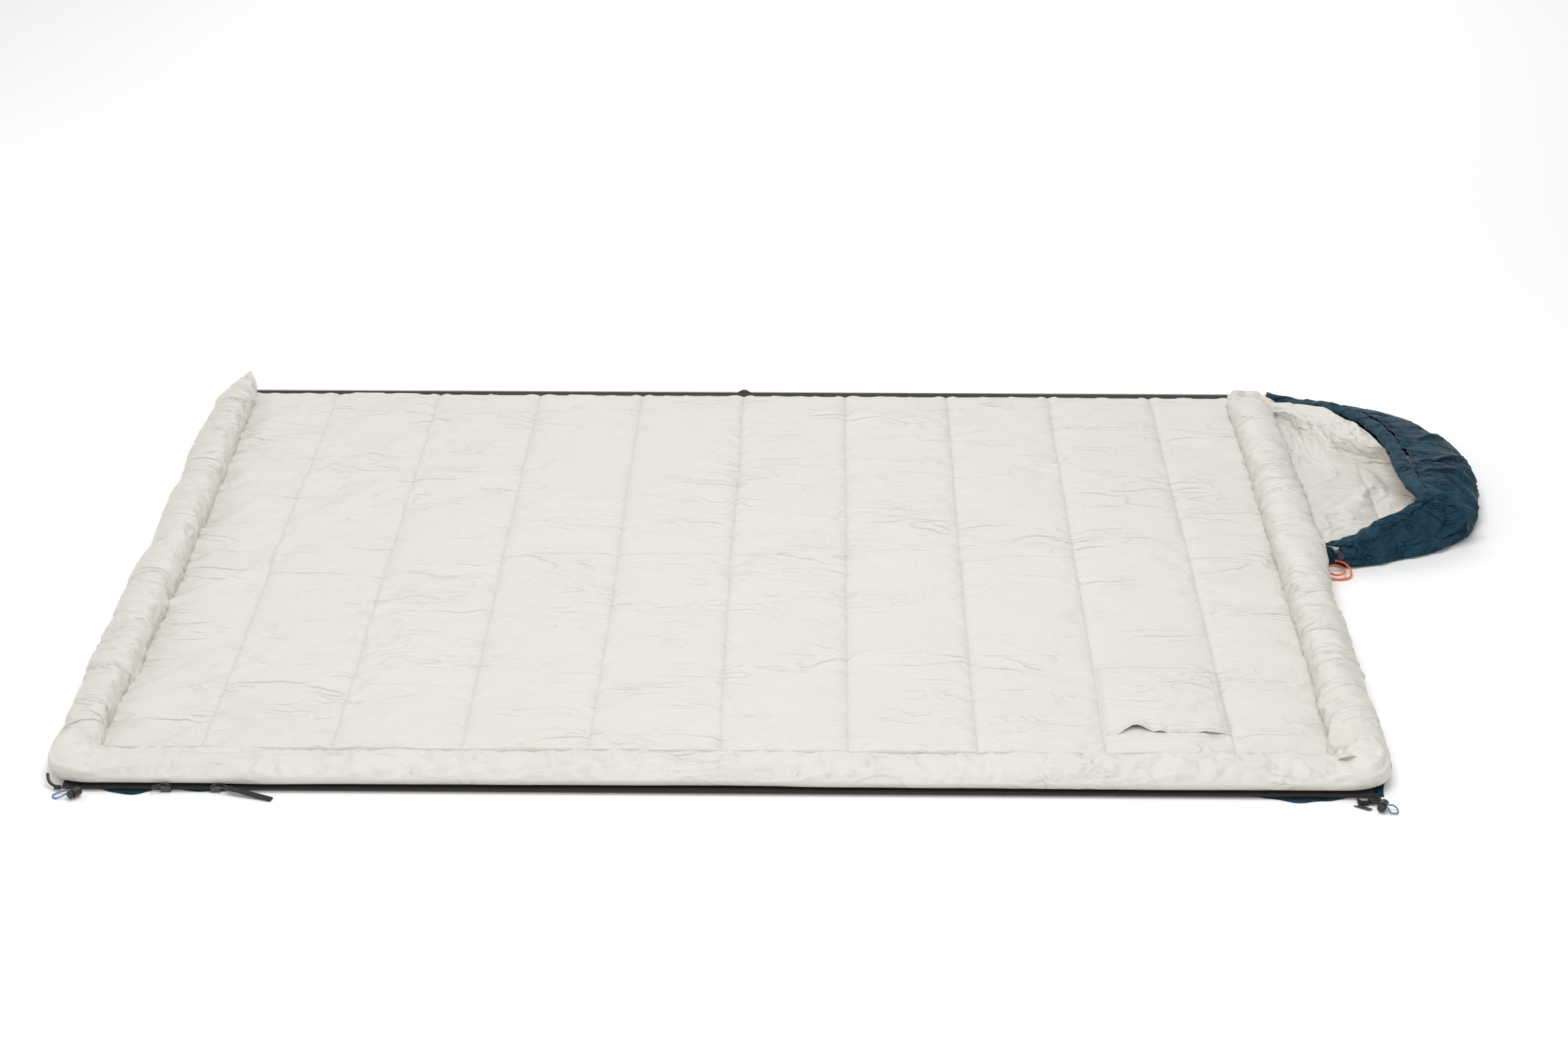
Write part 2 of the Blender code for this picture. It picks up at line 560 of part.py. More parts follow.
def slider(name, x, lean, tab, near):
    """A zip slider on the coil, and its pull on a cross bar through the slider's bridge."""
    slot = COIL_D / 2 + SLIDER_CLEAR
    throat = TAPE_THICK / 2 + SLIDER_CLEAR
    half_z = slot + SLIDER_WALL
    y = NEAR_COIL_Y
    back = y - slot - SLIDER_WALL
    front = y + slot + SLIDER_WALL
    outline = [
        (x, back, SLIDER_Z - half_z),
        (x, front, SLIDER_Z - half_z),
        (x, front, SLIDER_Z - throat),
        (x, y + slot, SLIDER_Z - throat),
        (x, y + slot, SLIDER_Z - slot),
        (x, y - slot, SLIDER_Z - slot),
        (x, y - slot, SLIDER_Z + slot),
        (x, y + slot, SLIDER_Z + slot),
        (x, y + slot, SLIDER_Z + throat),
        (x, front, SLIDER_Z + throat),
        (x, front, SLIDER_Z + half_z),
        (x, back, SLIDER_Z + half_z),
    ]
    body = pivot(name, (x, y, SLIDER_Z), near)
    case = extruded(name + "_body", outline, (1, 0, 0), SLIDER_LENGTH, "black_metal", body)

    roof = SLIDER_Z + half_z
    root = roof - MELT
    room = PULL_BAR + BRIDGE_ROOM
    top = roof + room + BRIDGE_ROOF
    bridge_y = (back + front) / 2
    left, right = x - BRIDGE_REACH, x + BRIDGE_REACH
    bridge = [
        (left, bridge_y, root),
        (left, bridge_y, top),
        (right, bridge_y, top),
        (right, bridge_y, root),
        (right - BRIDGE_WALL, bridge_y, root),
        (right - BRIDGE_WALL, bridge_y, roof + room),
        (left + BRIDGE_WALL, bridge_y, roof + room),
        (left + BRIDGE_WALL, bridge_y, root),
    ]
    arch = extruded(name + "_bridge", bridge, (0, 1, 0), BRIDGE_WIDTH, "black_metal")
    join_shape(case, arch)

    # The pull points along the zip and leans outwards, down to the ground.
    pin = Vector((x + lean * PIN_LEAD, bridge_y, roof + room / 2))
    ahead = Vector((lean * math.cos(PULL_YAW), -math.sin(PULL_YAW), 0.0))
    across = Vector((0.0, 0.0, 1.0)).cross(ahead)
    hang = pivot(name + "_pull", pin, body)
    elbow = pin + ahead * (SLIDER_LENGTH / 2 + SLIDER_CLEAR)
    tip = pin + ahead * PULL_LENGTH
    tip.z = COIL_Z + COIL_D / 2 + PULL_BAR / 2 + PULL_CLEAR
    down = (tip - elbow).normalized()
    level = Vector((0, 0, 1))
    bend = (ahead + down).normalized()
    stations = (
        (pin, ahead, 1.0, level),
        (elbow, bend, 0.0, across.cross(bend) * -1),
        (tip, down, -1.0, across.cross(down) * -1),
    )
    rings = []
    for turn in (-1, 1):
        for point, along, share, lift in stations[::-turn]:
            spot = point + across * turn * PULL_WIDTH / 2
            inwards = (along * share - across * turn) * PULL_BAR / 2
            high = lift.normalized() * PULL_BAR / 2
            rings.append([spot - inwards - high, spot + inwards - high,
                          spot + inwards + high, spot - inwards + high])
    skin(name + "_pull_ring", rings, "black_metal", hang, loop=True)
    if tab:
        start = tip + ahead * (PULL_BAR + GAP)
        drop = start.z - TAB_THICK / 2 - GAP
        side = across * TAB_WIDTH / 2
        high = Vector((0, 0, TAB_THICK / 2))
        stations = (0.0, 0.5, 1.0)
        rings = []
        for share in stations:
            point = start + ahead * TAB_LENGTH * share - Vector((0, 0, drop * share))
            rings.append([point - side - high, point + side - high,
                          point + side + high, point - side + high])
        skin(name + "_pull_tab", rings, "tape", hang)
    return body


# Cord locks --------------------------------------------------------------------------
def cord_lock(name, base, axis, parent):
    """A barrel with a push button on a spring. Base is the middle of the barrel's floor."""
    base, axis = Vector(base), Vector(axis).normalized()
    radius = LOCK_D / 2
    bore = radius - LOCK_WALL
    floor = LOCK_WALL
    turned(
        name + "_barrel",
        base,
        axis,
        [(radius - LOCK_EDGE, 0.0), (radius, LOCK_EDGE), (radius, LOCK_LENGTH),
         (bore, LOCK_LENGTH), (bore, floor)],
        "hardware",
        parent,
    )
    button = pivot(name + "_button", base + axis * LOCK_LENGTH, parent)
    stem = bore - SLIDER_CLEAR
    deep = LOCK_LENGTH * STEM_DEPTH
    head = LOCK_LENGTH + BUTTON_TRAVEL + GAP
    turned(
        name + "_push_button",
        base,
        axis,
        [(stem, deep), (stem, head), (BUTTON_D / 2, head),
         (BUTTON_D / 2, head + BUTTON_HEAD * BUTTON_DOME),
         (BUTTON_D / 2 * BUTTON_DOME, head + BUTTON_HEAD)],
        "hardware",
        button,
    )
    wire = SPRING_WIRE
    coil = stem - wire
    room = deep - BUTTON_TRAVEL - 2 * GAP - floor - 2 * wire
    side, up = frame_of(axis)
    rings = []
    count = int(SPRING_TURNS * SPRING_STEPS)
    for k in range(count + 1):
        angle = 2 * math.pi * k / SPRING_STEPS
        out = side * math.cos(angle) + up * math.sin(angle)
        spot = base + axis * (floor + GAP + wire + room * k / count) + out * (coil - GAP)
        ring = [2 * math.pi * n / 5 for n in range(5)]
        rings.append([spot + (out * math.cos(a) + axis * math.sin(a)) * wire for a in ring])
    skin(name + "_spring", rings, "spring_steel", parent)
    return button


# Hood --------------------------------------------------------------------------------
def hood_share(y):
    """-1 at the hood's near end and 1 at its far end."""
    return (y - HOOD_Y) / (HOOD_WIDTH / 2)


def hood_height(y):
    t = hood_share(y)
    return HOOD_END_HEIGHT + (HOOD_HEIGHT - HOOD_END_HEIGHT) * (1 - abs(t) ** HOOD_LOW_POWER)


def hood_reach(y):
    """How far the hood's outline stands past the head seam."""
    t = min(1.0, abs(hood_share(y)))
    short = HOOD_END_SHARE * HOOD_DEPTH
    return short + (HOOD_DEPTH - short) * math.sqrt(1 - t ** HOOD_ROUND)


def hood_mouth(y):
    """How far the mouth's rim stands past the head seam: a corner near the near end."""
    t = (hood_share(y) + 1) / 2
    low, high = MOUTH_NEAR * HOOD_DEPTH, MOUTH_FULL * HOOD_DEPTH
    climb = min(1.0, t / MOUTH_CORNER) ** MOUTH_CLIMB
    fall = 1 - max(0.0, (t - MOUTH_CORNER) / (1 - MOUTH_CORNER)) ** MOUTH_FALL
    return low + (high - low) * climb * fall


def hood_slice(y, inset):
    """One cut through the hood square to the head seam: floor, turn and overhanging crown."""
    height = hood_height(y)
    half = height / 2 - inset
    centre = HOOD_Z + height / 2
    turn_x = HOOD_X + hood_reach(y) - height / 2
    rim_x = min(HOOD_X + hood_mouth(y), turn_x - RIM_OVERHANG)
    points = [(HOOD_X + (turn_x - HOOD_X) * s, y, centre - half) for s in (0, 0.33, 0.67)]
    for k in range(7):
        a = -math.pi / 2 + math.pi * k / 6
        points.append((turn_x + half * math.cos(a), y, centre + half * math.sin(a)))
    points += [(turn_x + (rim_x - turn_x) * s, y, centre + half) for s in (0.33, 0.67, 1.0)]
    return points


def hood_places():
    return [HOOD_Y + HOOD_WIDTH / 2 * s for s in HOOD_STATIONS]


def hood(parent):
    """Shell, filling and lining of the hood, one inside the other, with the mouth's channel."""
    ys = hood_places()
    depth = 0.0
    for name, slot, thick in (
        ("hood_shell", "shell", HOOD_CLOTH),
        ("hood_insulation", "filling", HOOD_FILL),
        ("hood_lining", "lining", HOOD_CLOTH),
    ):
        outer = [hood_slice(y, depth) for y in ys]
        inner = [hood_slice(y, depth + thick) for y in ys]
        sheet(name, outer, inner, slot, parent)
        depth += thick + GAP

    stack = 2 * HOOD_CLOTH + HOOD_FILL + 2 * GAP
    crowns = [hood_slice(y, 0.0)[-1] for y in ys]
    edge = [Vector((x, y, z - stack / 2)) for x, y, z in crowns]
    rim = []
    for i, spot in enumerate(edge):
        ahead = edge[min(i + 1, len(edge) - 1)] - edge[max(i - 1, 0)]
        away = ahead.cross(Vector((0, 0, 1))).normalized()
        rim.append(spot - away * (RIM_RADIUS + GAP) * RIM_CORNER_ROOM)
    rim_rings, bore_rings, cord_rings = [], [], []
    for i, spot in enumerate(rim):
        ahead = rim[min(i + 1, len(rim) - 1)] - rim[max(i - 1, 0)]
        rim_rings.append(rim_circle(spot, ahead, RIM_RADIUS))
        bore_rings.append(rim_circle(spot, ahead, RIM_RADIUS - RIM_CLOTH))
        cord_rings.append(rim_circle(spot, ahead, CORD_D / 2))
    skin("hood_rim_channel", rim_rings + bore_rings[::-1], "shell", parent, loop=True)
    skin("hood_drawcord", cord_rings, "blue_cord", parent)


def rim_circle(spot, ahead, radius):
    """A ring square to the rim, its sides kept level so that neighbouring rings don't twist."""
    ahead = ahead.normalized()
    side = ahead.cross(Vector((0, 0, 1))).normalized()
    up = side.cross(ahead)
    turns = [2 * math.pi * k / 8 for k in range(8)]
    return [spot + (side * math.cos(a) + up * math.sin(a)) * radius for a in turns]


# Small trims -------------------------------------------------------------------------
def pocket(parent):
    """A flat pocket on the lining: a cloth panel over a seam binding on three sides."""
    base = LINING_TOP + GAP
    x0, x1 = POCKET_X - POCKET_WIDTH / 2, POCKET_X + POCKET_WIDTH / 2
    y0, y1 = POCKET_MOUTH_Y, POCKET_MOUTH_Y + POCKET_DEPTH
    s = POCKET_SEAM
    outline = [
        (x0, y0, 0), (x0 + s, y0, 0), (x0 + s, y1 - s, 0), (x1 - s, y1 - s, 0),
        (x1 - s, y0, 0), (x1, y0, 0), (x1, y1, 0), (x0, y1, 0),
    ]
    middle = base + POCKET_RISE / 2
    outline = [(x, y, middle) for x, y, _ in outline]
    extruded("pocket_seam", outline, (0, 0, 1), POCKET_RISE, "lining", parent)
    roof = base + POCKET_RISE + GAP
    block("pocket_panel", (x0, y0, roof), (x1, y1, roof + POCKET_CLOTH), "lining", parent)


def loop_ring(x, y, z, half, reach, thick):
    """Outline of a webbing loop: two legs on the zip tape and a squared-off bight."""
    shape = [(-1.0, 0.0), (-1.0, -0.8), (-0.55, -1.0), (0.55, -1.0), (1.0, -0.8), (1.0, 0.0)]
    outer = [(x + half * u, y + reach * v, z) for u, v in shape]
    inner = [(x + (half - thick) * u, y + (reach - thick) * v, z) for u, v in reversed(shape)]
    return outer + inner


def corner_pieces(parent):
    """What hangs at the near corner of the head end: webbing loop, ladder buckle and strap."""
    y = NEAR_COIL_Y - COIL_D / 2 - 2 * GAP
    x = HALF_LENGTH - CORNER_IN
    high = WEBBING_WIDTH
    outline = loop_ring(x, y, GAP + high / 2, LOOP_HALF, LOOP_REACH, WEBBING_THICK)
    extruded("head_corner_loop", outline, (0, 0, 1), high, "tape", parent)

    root = Vector((x, y, 0.0))
    low, top = root + Vector(BUCKLE_LOW), root + Vector(BUCKLE_TOP)
    buckle = block("head_corner_buckle", low, top, "hardware", parent, bevel=LOCK_EDGE)
    for k in BUCKLE_SLOTS:
        middle = low.y + (top.y - low.y) * k
        hole = block(
            f"buckle_hole_{int(k * 10)}",
            (low.x + BUCKLE_BAR, middle - BUCKLE_SLOT, low.z - FABRIC),
            (top.x - BUCKLE_BAR, middle + BUCKLE_SLOT, top.z + FABRIC),
            "hardware",
        )
        cut_shape(buckle, hole)

    strap = [(x + a, y + b, GAP + TAPE_THICK / 2) for a, b in STRAP]
    extruded("head_corner_strap", strap, (0, 0, 1), TAPE_THICK, "strap", parent)


def zip_ends(near):
    """Insertion pin, retainer box and top stops, past the two ends of each coil."""
    reach = HALF_LENGTH - ZIP_END + GAP
    half = COIL_D / 2
    for side, y, parent in (("near", NEAR_COIL_Y, near), ("far", FAR_COIL_Y, None)):
        block(
            "zip_top_stop_" + side,
            (reach, y - half, COIL_Z - half),
            (reach + STOP_LENGTH, y + half, COIL_Z + half),
            "hardware",
            parent,
            bevel=LOCK_EDGE / 2,
        )
    block(
        "zip_retainer_box",
        (-reach - BOX_LENGTH, NEAR_COIL_Y - half - BOX_PROUD, COIL_Z - half),
        (-reach, NEAR_COIL_Y + half, COIL_Z + half + BOX_PROUD),
        "hardware",
        near,
        bevel=LOCK_EDGE,
    )
    pin_rings = [
        circle((x, FAR_COIL_Y, COIL_Z), (1, 0, 0), half * PIN_SLIM, ROUND)
        for x in (-reach - PIN_LENGTH, -reach)
    ]
    skin("zip_insertion_pin", pin_rings, "hardware")


def edge_tab():
    """A small folded tab sewn to the middle of the far edge."""
    y = FAR_COIL_Y + COIL_D / 2 + GAP
    outline = [(a, y + b, TAPE_Z + EDGE_TAB_RISE) for a, b in EDGE_TAB]
    extruded("edge_tab_far", outline, (0, 0, 1), EDGE_TAB_THICK, "tape")


def looped_cord(name, start, steps, end, last, parent):
    """A cord from a lock through its steps and back in again."""
    route = [start, *[start + Vector(step) for step in steps], end + Vector(last), end]
    cord(name, route, CORD_D, "blue_cord", parent)


def foot_corner(near):
    """Cord lock and cord loop at the near corner of the foot end."""
    y = NEAR_COIL_Y - COIL_D / 2 - FOOT_LOCK_OUT
    base = Vector((-HALF_LENGTH + FOOT_LOCK_IN, y, LOCK_D / 2 + LOCK_RISE))
    axis = Vector(FOOT_LOCK_AXIS).normalized()
    cord_lock("foot_lock", base, axis, near)
    away = axis.cross(Vector((0, 0, 1))) * (LOCK_D / 2 + CORD_D / 2 + GAP)
    start = base + axis * FOOT_LOOP_OUT + away
    end = base + axis * FOOT_LOOP_BACK + away
    looped_cord("foot_cord_loop", start, FOOT_LOOP, end, FOOT_LOOP_RETURN, near)


def head_corner(near):
    """Cord lock and cord loop at the near corner of the head end."""
    y = NEAR_COIL_Y - COIL_D / 2 - HEAD_LOCK_OUT
    base = Vector((HALF_LENGTH - HEAD_LOCK_IN, y, LOCK_D / 2 + LOCK_RISE))
    axis = Vector(HEAD_LOCK_AXIS).normalized()
    cord_lock("head_lock", base, axis, near)
    away = Vector((0, 0, 1)).cross(axis) * (LOCK_D / 2 + CORD_D / 2 + GAP)
    start = base + axis * HEAD_LOOP_OUT + away
    end = base + axis * HEAD_LOOP_BACK + away
    looped_cord("head_cord_loop", start, HEAD_LOOP, end, HEAD_LOOP_RETURN, near)


def hood_corner(head):
    """Cord lock at the near end of the hood's rim, with the folded pull cord under it."""
    seam = Vector((HOOD_X - HOOD_SEAM_GAP, HOOD_Y - HOOD_WIDTH / 2, 0.0))
    axis = Vector(HOOD_LOCK_AXIS).normalized()
    cord_lock("hood_lock", seam + Vector(HOOD_LOCK_FROM_SEAM), axis, head)
    start = seam + Vector(PULL_CORD_FROM_SEAM)
    route = [start, *[start + Vector(step) for step in PULL_CORD]]
    cord("hood_pull_cord", route, PULL_CORD_D, "orange_cord", head)


# Assembly ----------------------------------------------------------------------------
def build():
    clear_scene()
    near = pivot("near_half", (0.0, FOLD_Y, FOLD_AXIS_Z))
    quilt_half("far", FAR_SIDE, FAR_EDGE - FAR_LINING_IN, None)
    quilt_half("near", NEAR_LINING_Y, NEAR_SIDE, near)
    roll_near_y = NEAR_EDGE - ROLL_NEAR_PAST
    roll_far_y = FAR_EDGE - ROLL_FAR_IN
    for end in ("foot", "head"):
        end_roll(end, "far", FAR_SIDE, roll_far_y, None)
        end_roll(end, "near", roll_near_y, NEAR_SIDE, near)
        roll_drawcord(end, "far", FAR_SIDE, roll_far_y, None)
        roll_drawcord(end, "near", roll_near_y, NEAR_SIDE, near)
    zip_side("far", FAR_EDGE, FAR_COIL_Y, None)
    zip_side("near", NEAR_EDGE, NEAR_COIL_Y, near)
    zip_tube(near)
    slider("lower_slider", LOWER_SLIDER_X, -1, False, near)
    slider("upper_slider", UPPER_SLIDER_X, 1, True, near)
    pocket(near)
    corner_pieces(near)
    zip_ends(near)
    edge_tab()
    foot_corner(near)
    head_corner(near)
    head = pivot("hood", (HOOD_X - HOOD_SEAM_GAP / 2, HOOD_Y, HOOD_AXIS_Z))
    hood(head)
    hood_corner(head)


build()
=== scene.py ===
"""A hooded camp quilt, unzipped flat, drawn around its CAD frame.

Metres throughout: +X runs to the head end, +Y to the far side, +Z up from the ground.
"""

import json
import math

import bpy
import numpy as np
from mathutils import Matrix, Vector


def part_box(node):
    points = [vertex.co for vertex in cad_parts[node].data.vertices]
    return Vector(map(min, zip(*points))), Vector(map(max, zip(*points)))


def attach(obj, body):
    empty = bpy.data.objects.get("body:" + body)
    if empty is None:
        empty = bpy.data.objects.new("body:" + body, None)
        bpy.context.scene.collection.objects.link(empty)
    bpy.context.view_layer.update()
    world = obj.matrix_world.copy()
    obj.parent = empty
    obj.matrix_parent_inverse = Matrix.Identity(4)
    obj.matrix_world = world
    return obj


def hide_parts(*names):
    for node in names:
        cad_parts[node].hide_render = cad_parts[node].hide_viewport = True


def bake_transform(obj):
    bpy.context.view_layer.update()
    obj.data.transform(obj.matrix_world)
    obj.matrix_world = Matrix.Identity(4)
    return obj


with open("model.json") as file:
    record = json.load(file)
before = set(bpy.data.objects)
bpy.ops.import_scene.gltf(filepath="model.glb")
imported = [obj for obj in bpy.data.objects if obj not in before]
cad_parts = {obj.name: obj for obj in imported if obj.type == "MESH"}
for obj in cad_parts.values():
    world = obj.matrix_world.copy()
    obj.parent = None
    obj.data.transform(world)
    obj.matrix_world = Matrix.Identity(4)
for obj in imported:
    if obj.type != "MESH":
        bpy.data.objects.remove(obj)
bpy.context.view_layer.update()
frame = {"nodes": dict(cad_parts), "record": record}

# Sizes that the pieces share ---------------------------------------------------------
PITCH = 0.182              # between two cross seams
NEAR_Y = -0.6657           # where the lining meets the near border
FAR_Y = 0.7060             # the lining's far edge
FOLD_Y = -0.0120           # the crease down the middle
VALLEY_Z = 0.0205          # the lining on a seam
FILL_Z = 0.0056            # under the filling, over the zip tape
PUFF = 0.0030              # the lining midway between two seams, over a seam
COIL_Y = -0.7545           # the near zip's coil
FAR_COIL_Y = 0.7305
COIL_Z = 0.00445
CORD_RADIUS = 0.0011       # of the cords inside the rolls and the hood's channel
END_LAP = 0.009            # how far the lining runs under an end roll, and the roll over it


# Numbers and noise ---------------------------------------------------------------------
def ease(x):
    """0 below 0, 1 above 1, with a soft start and stop between."""
    x = np.clip(x, 0.0, 1.0)
    return x * x * (3.0 - 2.0 * x)


def bump(x, middle, half):
    """A smooth hill of height 1 around middle, 0 beyond half."""
    return ease(1.0 - np.abs(x - middle) / half)


def drift(u, v, seed, octaves=3, fade=0.5):
    """Smooth random heights from -1 to 1: a lattice of seeded values, eased between its
    corners, and octaves of it, each twice as fine and fade times as high."""
    table = np.random.default_rng(seed).uniform(-1.0, 1.0, (64, 64))
    u, v = np.broadcast_arrays(np.asarray(u, float), np.asarray(v, float))
    total, height, most = np.zeros(u.shape), 1.0, 0.0
    for k in range(octaves):
        x, y = u * 2**k + 7.3 * k, v * 2**k + 3.1 * k
        i, j = np.floor(x).astype(int), np.floor(y).astype(int)
        f, g = ease(x - i), ease(y - j)
        a, b = table[i % 64, j % 64], table[(i + 1) % 64, j % 64]
        c, d = table[i % 64, (j + 1) % 64], table[(i + 1) % 64, (j + 1) % 64]
        total += height * ((a * (1 - f) + b * f) * (1 - g) + (c * (1 - f) + d * f) * g)
        most += height
        height *= fade
    return total / most


def ridges(u, v, seed, octaves=2):
    """Creases: 1 along the lines where drift crosses 0, falling to 0 away from them."""
    return (1.0 - np.abs(drift(u, v, seed, octaves))) ** 5


def along(table, shares):
    """Points on the smooth curve through a table's rows, at shares of its length in rows:
    a Catmull-Rom spline."""
    table = np.asarray(table, float)
    table = np.vstack([2 * table[0] - table[1], table, 2 * table[-1] - table[-2]])
    at = np.clip(np.asarray(shares, float), 0.0, 1.0) * (len(table) - 3)
    i = np.minimum(np.floor(at).astype(int), len(table) - 4)
    t = (at - i)[..., None]
    a, b, c, d = (table[i + k] for k in range(4))
    curve = (c - a) * t + (2 * a - 5 * b + 4 * c - d) * t**2 + (3 * b - a - 3 * c + d) * t**3
    return b + 0.5 * curve


def refit(points, at, axis):
    """A grid of points read at places between its rows (axis 0) or columns (axis 1), on the
    same smooth curve as along."""
    p = np.moveaxis(points, axis, 0)
    p = np.concatenate([2 * p[:1] - p[1:2], p, 2 * p[-1:] - p[-2:-1]])
    at = np.clip(np.asarray(at, float), 0.0, len(p) - 3)
    i = np.minimum(np.floor(at).astype(int), len(p) - 4)
    t = (at - i)[:, None, None]
    a, b, c, d = (p[i + k] for k in range(4))
    curve = (c - a) * t + (2 * a - 5 * b + 4 * c - d) * t**2 + (3 * b - a - 3 * c + d) * t**3
    return np.moveaxis(b + 0.5 * curve, 0, axis)


def off_line(points, line):
    """Distance, seen from above, from each point of a grid to a broken line."""
    best = np.full(points.shape[:-1], 9.0)
    for a, b in zip(np.asarray(line)[:-1], np.asarray(line)[1:]):
        way = b - a
        share = np.clip(((points[..., :2] - a) @ way) / (way @ way), 0.0, 1.0)
        best = np.minimum(best, np.linalg.norm(points[..., :2] - a - share[..., None] * way, axis=-1))
    return best


def finer(points, wrap=False):
    """A grid of points with one more between each two, on the cubic through four."""
    for axis in (0, 1):
        p = np.moveaxis(points, axis, 0)
        if wrap and axis == 1:
            before, after = np.roll(p, 1, 0), np.roll(p, -2, 0)
            mid = (9 * (p + np.roll(p, -1, 0)) - before - after) / 16
            out = np.empty((len(p) * 2, *p.shape[1:]))
            out[0::2], out[1::2] = p, mid
        else:
            q = np.concatenate([2 * p[:1] - p[1:2], p, 2 * p[-1:] - p[-2:-1]])
            mid = (9 * (q[1:-2] + q[2:-1]) - q[:-3] - q[3:]) / 16
            out = np.empty((len(p) * 2 - 1, *p.shape[1:]))
            out[0::2], out[1::2] = p, mid
        points = np.moveaxis(out, 0, axis)
    return points


# Meshes --------------------------------------------------------------------------------
def grid_faces(rows, columns, wrap=False):
    """Corner numbers of the four-sided faces between neighbours of a grid. The side that
    faces out is the one from which rows run right and columns run up."""
    i, j = np.meshgrid(
        np.arange(rows - 1), np.arange(columns if wrap else columns - 1), indexing="ij"
    )
    right, up = i + 1, (j + 1) % columns
    corners = [i * columns + j, right * columns + j, right * columns + up, i * columns + up]
    return np.stack(corners, -1).reshape(-1, 4)


def mesh_piece(name, points, faces, finish):
    """An object at the origin, with smooth faces and one material."""
    data = bpy.data.meshes.new(name)
    data.from_pydata(np.asarray(points, float).reshape(-1, 3).tolist(), [], faces)
    data.polygons.foreach_set("use_smooth", np.ones(len(data.polygons), bool))
    data.materials.append(finish)
    data.update()
    piece = bpy.data.objects.new(name, data)
    bpy.context.scene.collection.objects.link(piece)
    return piece


def sheet_piece(name, points, finish, flip=False):
    """One open sheet from a grid of points."""
    faces = grid_faces(*points.shape[:2])
    return mesh_piece(name, points, (faces[:, ::-1] if flip else faces).tolist(), finish)


def lined_piece(name, points, floor, finish):
    """A sheet whose edge goes straight down to the height floor, and is closed there by
    strips that run along the rows, so that it can bend between one column and the next."""
    rows, columns = points.shape[:2]
    n = rows * columns
    number = np.arange(n).reshape(rows, columns)
    edge = np.concatenate(
        [number[:-1, 0], number[-1, :-1], number[:0:-1, -1], number[0, :0:-1]]
    )
    base = points.reshape(-1, 3)[edge].copy()
    base[:, 2] = floor
    lower = n + np.arange(len(edge))
    after = np.roll(edge, -1), np.roll(lower, -1)
    walls = np.stack([edge, lower, after[1], after[0]], -1)
    corner = rows - 1, rows + columns - 2, 2 * rows + columns - 3
    first = lower[-np.arange(columns) % len(edge)]
    last = lower[corner[0]:corner[1] + 1]
    strips = np.stack([first[1:-2], first[2:-1], last[2:-1], last[1:-2]], -1)
    ends = [
        [first[1], last[1], *lower[corner[0]::-1]],
        [*lower[corner[2]:corner[1] - 1:-1], last[-2], first[-2]],
    ]
    faces = grid_faces(rows, columns).tolist() + walls.tolist() + strips.tolist()
    faces += [[int(k) for k in end] for end in ends]
    return mesh_piece(name, np.vstack([points.reshape(-1, 3), base]), faces, finish)


def tube_piece(name, rings, finish):
    """Closed rings one after another, each end closed with a fan around its middle. Seen
    from the first ring towards the last, the rings' points run clockwise."""
    rows, columns = rings.shape[:2]
    n = rows * columns
    ends = np.stack([rings[0].mean(0), rings[-1].mean(0)])
    j = np.arange(columns)
    k = (j + 1) % columns
    first = np.stack([np.full(columns, n), k, j], -1)
    last = np.stack([np.full(columns, n + 1), n - columns + j, n - columns + k], -1)
    faces = grid_faces(rows, columns, wrap=True)[:, ::-1].tolist()
    faces += first[:, ::-1].tolist() + last[:, ::-1].tolist()
    return mesh_piece(name, np.vstack([rings.reshape(-1, 3), ends]), faces, finish)


def frames_along(path):
    """Unit vectors along a path and two square to it, turned as little as can be."""
    ahead = np.gradient(path, axis=0)
    ahead /= np.linalg.norm(ahead, axis=1, keepdims=True)
    side = np.cross(ahead[0], (0.0, 0.0, 1.0))
    if np.linalg.norm(side) < 0.1:
        side = np.cross(ahead[0], (1.0, 0.0, 0.0))
    sides = []
    for a in ahead:
        side = side - a * (side @ a)
        side = side / np.linalg.norm(side)
        sides.append(side)
    sides = np.array(sides)
    return ahead, sides, np.cross(ahead, sides)


def rope(path, radius, sides=8):
    """Rings of a round bar of one radius, or one at each point, along a path."""
    _, side, up = frames_along(path)
    turn = -2 * np.pi * np.arange(sides) / sides
    r = np.broadcast_to(np.asarray(radius, float), (len(path),))[:, None, None]
    ring = side[:, None] * np.cos(turn)[None, :, None] + up[:, None] * np.sin(turn)[None, :, None]
    return path[:, None] + r * ring


def lengths(path):
    """How far along the path each of its points is."""
    return np.concatenate([[0.0], np.cumsum(np.linalg.norm(np.diff(path, axis=0), axis=1))])


def resample(path, step):
    """The same path with its points a step apart."""
    at = lengths(path)
    wanted = np.linspace(0.0, at[-1], max(2, int(round(at[-1] / step)) + 1))
    return np.stack([np.interp(wanted, at, path[:, k]) for k in range(3)], -1)


